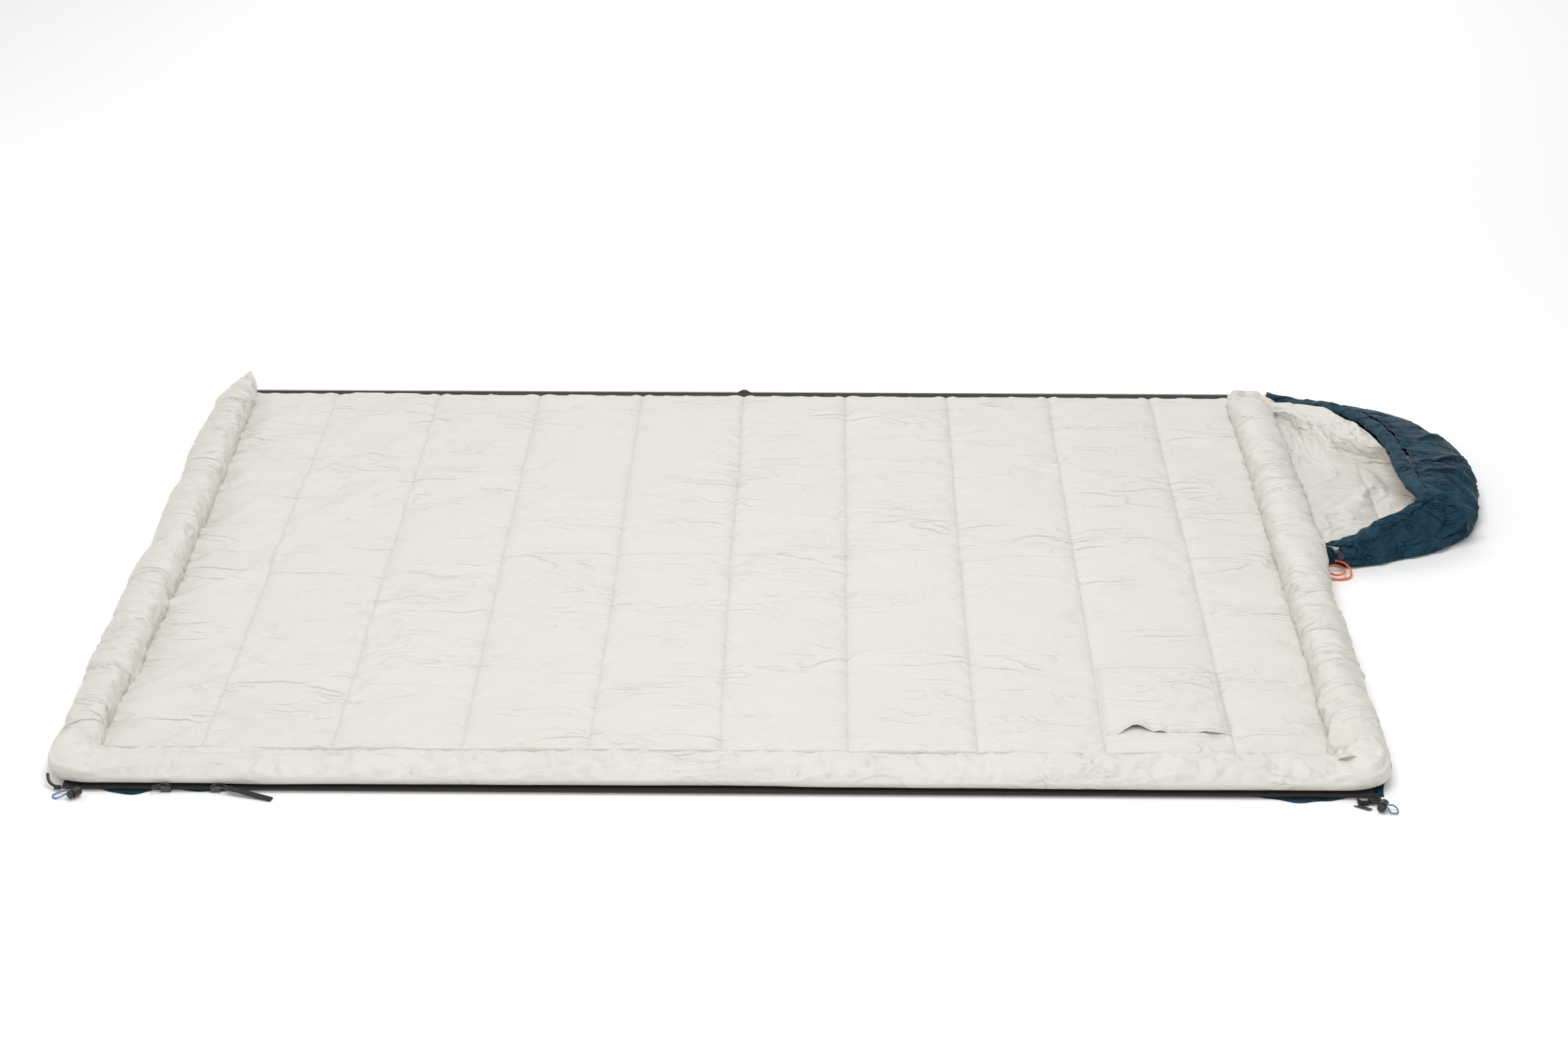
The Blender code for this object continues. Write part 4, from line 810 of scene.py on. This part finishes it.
def end_rolls():
    """The foot roll, which narrows to a tip at its far end, the head roll, which flattens
    there, and the cord inside each."""
    y = np.linspace(ROLL_NEAR_Y, FOOT_ROLL_FAR_Y, ROLL_RINGS)
    tip = np.clip((y - 0.590) / 0.122, 0.0, 1.0)
    inner = foot_seam(y) + END_LAP - 0.018 * tip**2
    outer = -0.9335 + 0.004 * drift(y * 6, 0 * y, 31, 2) + 0.042 * tip**1.2
    top = FOOT_ROLL_TOP - 0.004 * tip - CORNER_FALL * ease((-0.60 - y) / 0.09)
    foot = roll_rings(inner, outer, y, top, 32, 0.6, 0.6)
    roll("foot_roll", foot, ["foot_roll_cover_near", "foot_roll_cover_far",
                             "foot_roll_filling_near", "foot_roll_filling_far"])
    y = np.linspace(ROLL_NEAR_Y, HEAD_ROLL_FAR_Y, ROLL_RINGS)
    inner = head_seam(y) - END_LAP + 0.012 * ease((y - 0.60) / 0.10)
    outer = np.interp(y, (-0.72, -0.4, -0.12, 0.07, 0.19, 0.31, 0.48, 0.61, 0.70),
                      (0.938, 0.937, 0.938, 0.944, 0.946, 0.942, 0.937, 0.934, 0.926))
    outer = outer + 0.003 * drift(y * 6, 0 * y, 41, 2)
    top = HEAD_ROLL_TOP - 0.028 * ease((y - 0.52) / 0.18) - CORNER_FALL * ease((-0.60 - y) / 0.09)
    head = roll_rings(inner, outer, y, top, 42, 0.6, 1.0)
    roll("head_roll", head, ["head_roll_cover_near", "head_roll_cover_far",
                             "head_roll_filling_near", "head_roll_filling_far"])
    for end in ("foot", "head"):
        low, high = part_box(end + "_drawcord_near")
        x, z = (low.x + high.x) / 2, (low.z + high.z) / 2
        run = np.linspace(-0.690, 0.680, 200)
        x = x - np.sign(x) * (0.003 + 0.030 * ease((run - 0.45) / 0.25) + 0.006 * ease((-0.6 - run) / 0.1))
        z = z - (0.014 * ease((run - 0.52) / 0.18) if end == "head" else 0 * run)
        path = np.stack([x, run, z], -1)
        cord = tube_piece(end + "_roll_drawcord", rope(path, CORD_RADIUS), BLUE)
        bend_across(cord)
        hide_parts(end + "_drawcord_near", end + "_drawcord_far")


# Outer edge, inner seam and height of the near border, from the foot corner to the head one.
BORDER = (
    ((-0.9260, -0.5950), (-0.8740, -0.6480), 0.036),
    ((-0.9345, -0.6350), (-0.8715, -0.6600), 0.044),
    ((-0.9370, -0.6800), (-0.8700, -0.6660), 0.046),
    ((-0.9330, -0.7180), (-0.8690, -0.6680), 0.042),
    ((-0.9160, -0.7390), (-0.8670, -0.6680), 0.038),
    ((-0.8840, -0.7495), (-0.8540, -0.6665), 0.030),
    ((-0.8300, -0.7495), (-0.8150, -0.6660), 0.028),
    ((-0.7300, -0.7495), (-0.7300, -0.6657), 0.027),
    ((-0.3650, -0.7495), (-0.3650, -0.6657), 0.026),
    ((0.0000, -0.7495), (0.0000, -0.6657), 0.026),
    ((0.3650, -0.7495), (0.3650, -0.6657), 0.026),
    ((0.7300, -0.7495), (0.7300, -0.6657), 0.027),
    ((0.8300, -0.7495), (0.8150, -0.6660), 0.028),
    ((0.8850, -0.7480), (0.8560, -0.6670), 0.030),
    ((0.9170, -0.7360), (0.8670, -0.6690), 0.038),
    ((0.9340, -0.7140), (0.8700, -0.6690), 0.043),
    ((0.9390, -0.6800), (0.8700, -0.6660), 0.048),
    ((0.9385, -0.6350), (0.8715, -0.6600), 0.047),
    ((0.9300, -0.5850), (0.8730, -0.6440), 0.034),
)


def border():
    """The stuffed border behind the near zip: an oval between the outer edge and the inner
    seam at each place along it. At the corners the ovals fan out around the point where the
    border's seam meets the roll's, and pleats spread from there."""
    rows = np.array([[*o, *i, h] for o, i, h in BORDER])
    dense = along(rows, np.linspace(0.0, 1.0, 4000))
    at = lengths(np.hstack([dense[:, :2] * 0.6 + dense[:, 2:4] * 0.4, np.zeros((4000, 1))]))
    even = np.linspace(0.0, at[-1], 330)
    o_x, o_y, i_x, i_y, height = (np.interp(even, at, dense[:, k]) for k in range(5))
    o_y = o_y + 0.0035 * ease(drift(o_x * 6, 0 * o_x, 51, 2)) * bump(o_x, 0.0, 1.1)
    hang = ease(0.2 + 1.5 * drift(o_x * 3.1, 0 * o_x, 58, 2))
    o_y = o_y - 0.0045 * hang * ease((0.72 - np.abs(o_x)) / 0.15)
    outer = np.stack([o_x, o_y, 0 * o_x], -1)
    inner = np.stack([i_x, i_y, 0 * i_x], -1)
    high = FILL_Z + height * (0.82 + 0.07 * drift(even * 5, 0 * even, 52, 2))
    low = np.full(len(even), FILL_Z)
    rings = ovals((outer + inner) / 2, (outer - inner) / 2, low, high, BORDER_SIDES, 0.92, 0.45)
    turn = 2 * np.pi * np.arange(BORDER_SIDES) / BORDER_SIDES
    s, a = np.meshgrid(even, turn, indexing="ij")
    across = 0.5 + 0.5 * np.cos(a)
    top = np.maximum(-np.sin(a), 0.0) ** 0.6
    corner = np.maximum(ease(1 - s / 0.17), ease(1 - (even[-1] - s) / 0.15))
    inside = ease(1.15 - across)
    bent = 0.4 * drift(s * 8, across * 2, 57, 2)
    rise = 0.0075 * (ridges(s * 6 + across * 3.0 + bent, across * 1.1 + s * 4, 53, 2) ** 1.5 - 0.25)
    rise += 0.0016 * drift(s * 13 + 3 * across, across * 1.2, 54, 2) * inside
    rise += corner * inside * 0.0110 * drift(s * 27, across * 1.2, 55, 1)
    rise -= corner * 0.006 * np.exp(-((across - 0.12) / 0.14) ** 2) * ease(drift(s * 60, 0 * s, 56, 1))
    rings[..., 2] += rise * top
    held = rings[..., 2] < 0.011
    held |= (across < 0.02) | (across > 0.985)
    held[[0, -1]] = True
    rings = puffed(rings, held, wrap=True, pressure=3.0, spare=0.03, cap=0.005, bend=0.6)
    rings = finer(rings, wrap=True)
    lowest = np.where(rings[..., 1] < -0.7500, OVER_COIL_Z, FILL_Z - 0.0002)
    rings[..., 2] = np.maximum(rings[..., 2], lowest)
    piece = tube_piece("near_border", rings, LINING)
    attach(piece, "near_half")
    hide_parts("zip_tube_cover", "zip_tube_filling")


# Shell ----------------------------------------------------------------------------------
SHELL_END_X = 0.9315
SHELL_NEAR_Y = -0.7475
SHELL_FAR_Y = 0.7180
BULGE_Y = -0.7622          # past here the cloth that stands out past the zip rises


def shell():
    """The navy underside: flat under the quilt, standing out past the near zip in two
    crumpled bulges and behind the head corner."""
    x = np.linspace(-SHELL_END_X, SHELL_END_X, 420)
    share = np.concatenate([np.linspace(0.0, 0.06, 34), np.linspace(0.06, 1.0, 110)[1:]])
    out = 0.018 * bump(x, -0.815, 0.055) + 0.009 * bump(x, -0.70, 0.07)
    out += 0.018 * bump(x, 0.810, 0.085)
    near = SHELL_NEAR_Y - out + 0.0025 * drift(x * 40, 0 * x, 61, 2) * (out > 0.004)
    side = x
    x, share = np.meshgrid(x, share, indexing="ij")
    y = near[:, None] + (SHELL_FAR_Y - near[:, None]) * share
    tuck = np.where(side < 0, 0.045, 0.010)[:, None] * ease((-0.690 - y) / 0.055)
    tuck = tuck * ease((np.abs(x) - 0.86) / 0.06)
    x = x - np.sign(x) * tuck
    z = 0.0016 + 0.0008 * drift(x * 20, y * 20, 62, 2)
    past = ease((BULGE_Y - y) / 0.005)
    z = z + past * (0.0045 + 0.0035 * ridges(x * 30, y * 22, 63, 2))
    z = np.where((y > BULGE_Y) & (y < -0.7490), np.minimum(z, 0.0010), z)
    back = bump(x, SHELL_END_X, 0.02) * bump(y, -0.722, 0.030)
    z = z + 0.012 * back
    z = np.where(share == 0.0, 0.0008, z)
    piece = lined_piece("quilt_shell", np.stack([x, y, z], -1), 0.0001, NAVY)
    bend_across(piece)
    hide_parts("near_shell", "far_shell")


# Zips ------------------------------------------------------------------------------------
COIL_END_X = 0.9075
COIL_PITCH = 0.0017
COIL_HALF_WIDTH = 0.0017
COIL_HALF_HEIGHT = 0.0015
COIL_WIRE = 0.0005         # radius of the coiled wire
PIPING_RADIUS = 0.0022


def zip_coil(name, y, body, node):
    """One nylon coil along X: a flattened helix, a wire of four sides."""
    path = resample(np.array([(-COIL_END_X, y, COIL_Z), (COIL_END_X, y, COIL_Z)]), 0.0002)
    _, side, up = frames_along(path)
    turn = 2 * np.pi * lengths(path) / COIL_PITCH
    line = path + side * (COIL_HALF_WIDTH * np.cos(turn))[:, None]
    line = line + up * (COIL_HALF_HEIGHT * np.sin(turn))[:, None]
    piece = tube_piece(name, rope(line, COIL_WIRE, 4), COIL)
    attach(piece, body)
    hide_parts(node)


def zips():
    """The two coils, and the piping that curls up round the foot corner."""
    zip_coil("near_coil", COIL_Y, "near_half", "zip_coil_near")
    zip_coil("far_coil", FAR_COIL_Y, "far_half", "zip_coil_far")
    curl = along([(-0.9120, -0.7540, 0.0050), (-0.9200, -0.7510, 0.0060), (-0.9270, -0.7440, 0.0090),
                  (-0.9300, -0.7360, 0.0160)], np.linspace(0, 1, 60))
    piece = tube_piece("foot_corner_piping", rope(resample(curl, 0.001), PIPING_RADIUS, 10), COIL)
    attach(piece, "near_half")


# Pocket -----------------------------------------------------------------------------------
POCKET_MOUTH_Y = -0.6120
POCKET_DEEP = 0.2120
POCKET_THICK = 0.0007
POCKET_COLUMNS = 90
POCKET_ROWS = 70


def over(points, x, y):
    """Height of the lining's grid of points at (x, y): along the nearest row."""
    rows = points[0, :, 1]
    number = np.abs(rows[None] - y.ravel()[:, None]).argmin(1)
    found = [np.interp(a, points[:, j, 0], points[:, j, 2]) for a, j in zip(x.ravel(), number)]
    return np.array(found).reshape(x.shape)


def pocket(points):
    """A cloth panel between two cross seams, sewn down on three sides. Its mouth sags open
    in waves and stands highest near one end."""
    steps = np.linspace(0, 1, POCKET_COLUMNS), np.linspace(0, 1, POCKET_ROWS)
    u, v = np.meshgrid(*steps, indexing="ij")
    y = POCKET_MOUTH_Y + POCKET_DEEP * v
    mouth = ease(1 - v / 0.35)
    y = y + 0.0110 * bump(u, 0.24, 0.17) * ease(1 - v / 0.12)
    left, right = seam_x(3, y) + 0.003, seam_x(4, y) - 0.001
    x = left + (right - left) * u
    side = ease(np.minimum(u, 1 - u) / 0.06) * ease((1 - v) / 0.06)
    gape = 0.0060 * bump(u, 0.24, 0.17) + 0.0028 * bump(u, 0.43, 0.07) + 0.0026 * bump(u, 0.84, 0.13)
    far = ease((1 - v) / 0.05)
    shut = (1 - np.minimum(1.0, gape / 0.0015)) * ease(1 - v / 0.08)
    z = over(points, x, y) + 0.0010 * far - 0.0004 + side * (0.0006 + 0.0012 * drift(u * 5, v * 5, 71, 2))
    z = z + gape * mouth * side - 0.0009 * shut * side
    panel = np.stack([x, y, z], -1)
    under = panel - (0, 0, POCKET_THICK)
    number = np.arange(POCKET_COLUMNS * POCKET_ROWS).reshape(POCKET_COLUMNS, POCKET_ROWS)
    rim = np.concatenate([number[0], number[1:, -1], number[-1, -2::-1], number[-2:0:-1, 0]])
    n = number.size
    faces = grid_faces(POCKET_COLUMNS, POCKET_ROWS)
    walls = np.stack([rim, np.roll(rim, -1), n + np.roll(rim, -1), n + rim], -1)
    faces = np.vstack([faces, faces[:, ::-1] + n, walls])
    piece = mesh_piece("pocket_front", np.vstack([panel.reshape(-1, 3), under.reshape(-1, 3)]),
                       faces.tolist(), LINING)
    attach(piece, "near_half")
    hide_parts("pocket_panel", "pocket_seam")
    lines = [panel[2], panel[-3], panel[-6], panel[:, -3], panel[:, 2]]
    sewn = stitches("pocket_thread", lines, THREAD, lift=0.0002)
    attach(sewn, "near_half")


# Hood --------------------------------------------------------------------------------------
# Rim, outline on the ground, and head seam in Y, from the near end to the far one.
HOOD = (
    ((0.9500, 0.0340, 0.0260), (0.9500, 0.0120, 0.0100), 0.020),
    ((0.9790, 0.0310, 0.0380), (0.9850, -0.0020, 0.0100), 0.045),
    ((1.0060, 0.0390, 0.0480), (1.0300, 0.0080, 0.0100), 0.070),
    ((1.0290, 0.0530, 0.0580), (1.0750, 0.0300, 0.0100), 0.100),
    ((1.0540, 0.0580, 0.0670), (1.1250, 0.0520, 0.0110), 0.130),
    ((1.0820, 0.0730, 0.0740), (1.1650, 0.0860, 0.0120), 0.160),
    ((1.1040, 0.1060, 0.0770), (1.1970, 0.1300, 0.0140), 0.190),
    ((1.0950, 0.1600, 0.0780), (1.2190, 0.1950, 0.0160), 0.235),
    ((1.0890, 0.2300, 0.0780), (1.2300, 0.2700, 0.0180), 0.290),
    ((1.0880, 0.3000, 0.0770), (1.2310, 0.3480, 0.0180), 0.350),
    ((1.0820, 0.3650, 0.0740), (1.2200, 0.4220, 0.0180), 0.410),
    ((1.0700, 0.4300, 0.0690), (1.1950, 0.4900, 0.0180), 0.470),
    ((1.0460, 0.5000, 0.0600), (1.1520, 0.5550, 0.0180), 0.530),
    ((1.0100, 0.5650, 0.0480), (1.0950, 0.6120, 0.0180), 0.580),
    ((0.9720, 0.6020, 0.0380), (1.0200, 0.6450, 0.0160), 0.620),
    ((0.9270, 0.6300, 0.0380), (0.9400, 0.6640, 0.0140), 0.655),
)
HOOD_X = 0.9405            # the hood's seam
HOOD_ROWS = 190
BAND = 0.026               # width of the drawcord channel
CROWN_RISE = 0.012         # the crown's middle over a quarter oval
CROWN_STEPS = 40
TURN_UNDER = 0.010         # radius at which the crown turns under
CHANNEL_LEAD = 0.80        # where the crown starts, as a share of the channel's width
LINING_STEPS = 26          # of the lining's wall
# Big folds of the crown: place along the rim, lean, width, depth, reach towards the outline.
CROWN_FOLDS = (
    (0.345, -0.20, 0.012, 0.0150, 0.95), (0.285, -0.10, 0.011, 0.0110, 0.80),
    (0.385, 0.02, 0.009, 0.0080, 0.60), (0.430, 0.09, 0.010, 0.0070, 0.80),
    (0.240, -0.10, 0.009, 0.0070, 0.60), (0.190, -0.07, 0.008, 0.0060, 0.50),
    (0.560, 0.05, 0.010, 0.0050, 0.70),
)
# The seam between two panels of the hood's lining, seen from above.
LINING_SEAM = (
    (1.030, 0.462), (1.039, 0.427), (1.050, 0.394), (1.056, 0.295), (1.060, 0.187), (1.058, 0.120),
)


def hood_lines():
    """Rim, outline and head seam at even steps along the rim, how far round each is, and at
    each the channel's width, the share of full size and the way in from the outline."""
    rows = np.array([[*r, *o, s] for r, o, s in HOOD])
    dense = along(rows, np.linspace(0.0, 1.0, 3000))
    at = lengths(dense[:, :3] * 0.6 + dense[:, 3:6] * 0.4)
    t = np.linspace(0.0, 1.0, HOOD_ROWS)
    even = np.stack([np.interp(t * at[-1], at, dense[:, k]) for k in range(7)], -1)
    rim, outline = even[:, :3], even[:, 3:6]
    seam = np.stack([np.full(HOOD_ROWS, HOOD_X), even[:, 6], np.full(HOOD_ROWS, 0.0012)], -1)
    span = np.linalg.norm(outline - rim, axis=1)
    inward = seam - outline
    inward[:, 2] = 0.0
    inward = inward / np.linalg.norm(inward, axis=1, keepdims=True)
    band = np.minimum(BAND, 0.45 * span)
    size = np.clip(span / 0.15, 0.25, 1.0)
    return rim, outline, seam, t, span, band, size, inward


def section(rim, outline, share, rise):
    """Points from the rim to the outline: a quarter oval with an extra sine rise."""
    a = share * np.pi / 2
    flat = rim + (outline - rim) * np.sin(a)[..., None]
    z = outline[..., 2] + (rim[..., 2] - outline[..., 2]) * np.cos(a)
    flat[..., 2] = z + rise * np.sin(np.pi * share) ** 1.2
    return flat


def crown_folds(tt, ss):
    """How far the crown stands out of its plain section: big folds that lean along the rim,
    fine creases, gathers beside the channel and the groove of a low panel seam."""
    dent = np.zeros(tt.shape)
    for place, lean, wide, deep, reach in CROWN_FOLDS:
        off = (tt - place - lean * ss + 0.010 * drift(ss * 4, tt * 2, 87, 2)) / wide
        shape = np.exp(-((off - 1.0) ** 2)) - 0.45 * np.exp(-((off + 0.6) ** 2)) * ease(ss / 0.25)
        dent += 1.5 * deep * shape * ease(ss / 0.06) * ease((reach - ss) / 0.3)
    fan = ridges(tt * 22 + ss * 1.5, ss * 1.2, 81, 2) - 0.3
    dent += 0.0075 * fan * ease(ss / 0.15) * ease((1 - ss) / 0.15)
    dent += 0.0030 * drift(tt * 80, ss * 3, 82, 1) * ease(1 - ss / 0.35)
    side = 0.80 + 0.15 * ease((tt - 0.1) / 0.3)
    dent -= 0.0050 * np.exp(-(((ss - side) / 0.022) ** 2)) * ease((0.47 - tt) / 0.05)
    return dent


def hood_crown(rim, outline, seam, t, span, band, size, inward):
    """The hood's outer cloth: crown, turn at the outline and underside back to the seam."""
    tt, ss = np.meshgrid(t, np.linspace(0.0, 1.0, CROWN_STEPS), indexing="ij")
    start = (band / span * CHANNEL_LEAD)[:, None]
    crown = section(rim[:, None], outline[:, None], start + (1 - start) * ss, CROWN_RISE * size[:, None])
    away = crown - (rim * 0.5 + seam * 0.5)[:, None]
    away /= np.linalg.norm(away, axis=-1, keepdims=True)
    crown = crown + away * (crown_folds(tt, ss) * size[:, None])[..., None]
    turn = np.linspace(0.0, 1.0, 16)[1:] * np.pi / 2
    low = outline[:, None] + inward[:, None] * (TURN_UNDER * (1 - np.cos(turn)))[None, :, None]
    low[..., 2] = 0.0012 + (outline[:, None, 2] - 0.0012) * (1 - np.sin(turn))[None, :]
    last = low[:, -1:]
    floor = last + (seam[:, None] - last) * np.linspace(0, 1, 14)[1:][None, :, None]
    outer = np.concatenate([crown, low, floor], 1)
    held = np.zeros(outer.shape[:2])
    held[:, 0] = 1.0
    held[:, CROWN_STEPS + 8:] = 1.0
    held[[0, -1]] = 1.0
    outer = finer(puffed(outer, held, pressure=1.2, spare=0.045, cap=0.009, bend=0.15))
    outer[..., 2] = np.maximum(outer[..., 2], 0.0006)
    piece = sheet_piece("hood_crown", outer, NAVY, flip=True)
    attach(piece, "hood")
    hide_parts("hood_shell", "hood_insulation")


def hood_channel(rim, outline, t, span, band, size):
    """The drawcord channel, a flat band around the rim gathered across, its cord and its
    row of stitches."""
    toward = section(rim, outline, band / span * CHANNEL_LEAD, CROWN_RISE * size) - rim
    toward /= np.linalg.norm(toward, axis=1, keepdims=True)
    path = rim + toward * (band / 2)[:, None]
    fine = np.linspace(0, 1, 700)
    path = np.stack([np.interp(fine, t, path[:, k]) for k in range(3)], -1)
    toward = np.stack([np.interp(fine, t, toward[:, k]) for k in range(3)], -1)
    width = np.interp(fine, t, band)
    ahead = np.gradient(path, axis=0)
    ahead /= np.linalg.norm(ahead, axis=1, keepdims=True)
    up = np.cross(toward, ahead)
    up /= np.linalg.norm(up, axis=1, keepdims=True)
    turn = -2 * np.pi * np.arange(20) / 20
    f, a = np.meshgrid(fine, turn, indexing="ij")
    fat = 0.0070 + 0.0048 * drift(f * 62, np.cos(a) * 0.8, 83, 2)
    wide = width[:, None] / 2 * (1 + 0.34 * drift(f * 48, np.sin(a) * 0.5, 84, 2))
    rings = path[:, None] + toward[:, None] * (wide * np.cos(a))[..., None]
    rings = rings + up[:, None] * (fat * np.sin(a))[..., None]
    channel = tube_piece("hood_channel", finer(rings, wrap=True), NAVY)
    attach(channel, "hood")
    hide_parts("hood_rim_channel")
    core = tube_piece("hood_rim_drawcord", rope(resample(path, 0.004), CORD_RADIUS), BLUE)
    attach(core, "hood")
    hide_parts("hood_drawcord")
    line = path + toward * (width * 0.50)[:, None] + up * 0.0015
    sewn = stitches("hood_channel_thread", [line], DARK_THREAD, lift=0.001)
    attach(sewn, "hood")


def hood_inner(rim, outline, seam, t, inward):
    """The hood's lining: from the rim down the inside of the crown, then along the floor to
    the head seam. On the far side the wall is full and comes in past the rim as a ridge."""
    far = ease((t - 0.42) / 0.22)[:, None]
    end_up = ease((t - 0.72) / 0.22)
    deep = outline + inward * 0.024
    deep[:, 2] = 0.030
    full = rim + inward * 0.060
    full[:, 2] = np.minimum(0.047, rim[:, 2] - 0.004)
    inside = deep * (1 - far) + full * far
    shares = np.linspace(0, 1, LINING_STEPS)[None] * np.ones((HOOD_ROWS, 1))
    wall = section(rim[:, None] - (0, 0, 0.006), inside[:, None], shares, 0.010 * far)
    end = seam.copy()
    end[:, 0] -= 0.010 * ease((t - 0.66) / 0.20)
    end[:, 2] = 0.022 + 0.008 * end_up
    u = np.linspace(0, 1, 50)[1:]
    bottom = wall[:, -1:] + (end[:, None] - wall[:, -1:]) * u[None, :, None]
    sag = 0.005 * np.sin(np.pi * u) ** 0.8 * (1 - end_up)[:, None]
    bottom[..., 2] = end[:, 2:] + (wall[:, -1:, 2] - end[:, 2:]) * np.exp(-u / 0.20) - sag
    lining = np.concatenate([wall, bottom], 1)
    tt, ss = np.meshgrid(t, np.linspace(0, 1, lining.shape[1]), indexing="ij")
    edge = ease((1 - ss) / 0.08) * ease(ss / 0.04)
    wrinkle = ridges(tt * 9 + ss * 5, ss * 4 - tt * 2, 85, 2) - 0.3
    lining[..., 2] += 0.0040 * wrinkle * edge * (1 - 0.7 * ease((t - 0.80) / 0.15)[:, None])
    wrinkle = ridges(tt * 3.5, ss * 12 + tt * 3, 88, 2) - 0.3
    lining[..., 2] += 0.0050 * wrinkle * edge * far * ease((0.5 - ss) / 0.2)
    held = np.zeros(lining.shape[:2])
    held[:, [0, LINING_STEPS - 1, -1]] = 1.0
    held[[0, -1]] = 1.0
    lining = finer(puffed(lining, held, pressure=0.8, spare=0.035, cap=0.005, bend=0.15))
    lining[..., 2] -= 0.0030 * np.exp(-((off_line(lining, LINING_SEAM) / 0.0032) ** 2))
    piece = sheet_piece("hood_inner", lining, LINING)
    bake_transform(piece)
    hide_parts("hood_lining")


def hood_ends():
    """At the far end a corner of the lining is folded out; at the near end the cord runs
    from the channel into its lock."""
    steps = np.linspace(0, 1, 24)
    corner = along([(0.9420, 0.6140, 0.0270), (0.9330, 0.6290, 0.0300), (0.9240, 0.6440, 0.0300),
                    (0.9190, 0.6500, 0.0290)], steps)
    thick = np.interp(steps, (0, 0.5, 1), (0.007, 0.014, 0.001))
    flap = tube_piece("hood_far_corner", rope(corner, thick, 12), LINING)
    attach(flap, "hood")
    lead = along([(0.9520, 0.0330, 0.0270), (0.9560, 0.0180, 0.0300), (0.9625, 0.0040, 0.0275),
                  (0.9644, -0.0030, 0.0268)], np.linspace(0, 1, 30))
    lead = tube_piece("hood_elastic_end", rope(lead, CORD_RADIUS), BLUE)
    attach(lead, "hood")


def hood():
    rim, outline, seam, t, span, band, size, inward = hood_lines()
    hood_crown(rim, outline, seam, t, span, band, size, inward)
    hood_channel(rim, outline, t, span, band, size)
    hood_inner(rim, outline, seam, t, inward)
    hood_ends()


# Build ----------------------------------------------------------------------------------
finish_frame()
stage()
free_cords()
points = quilt()
end_rolls()
border()
shell()
zips()
pocket(points)
hood()
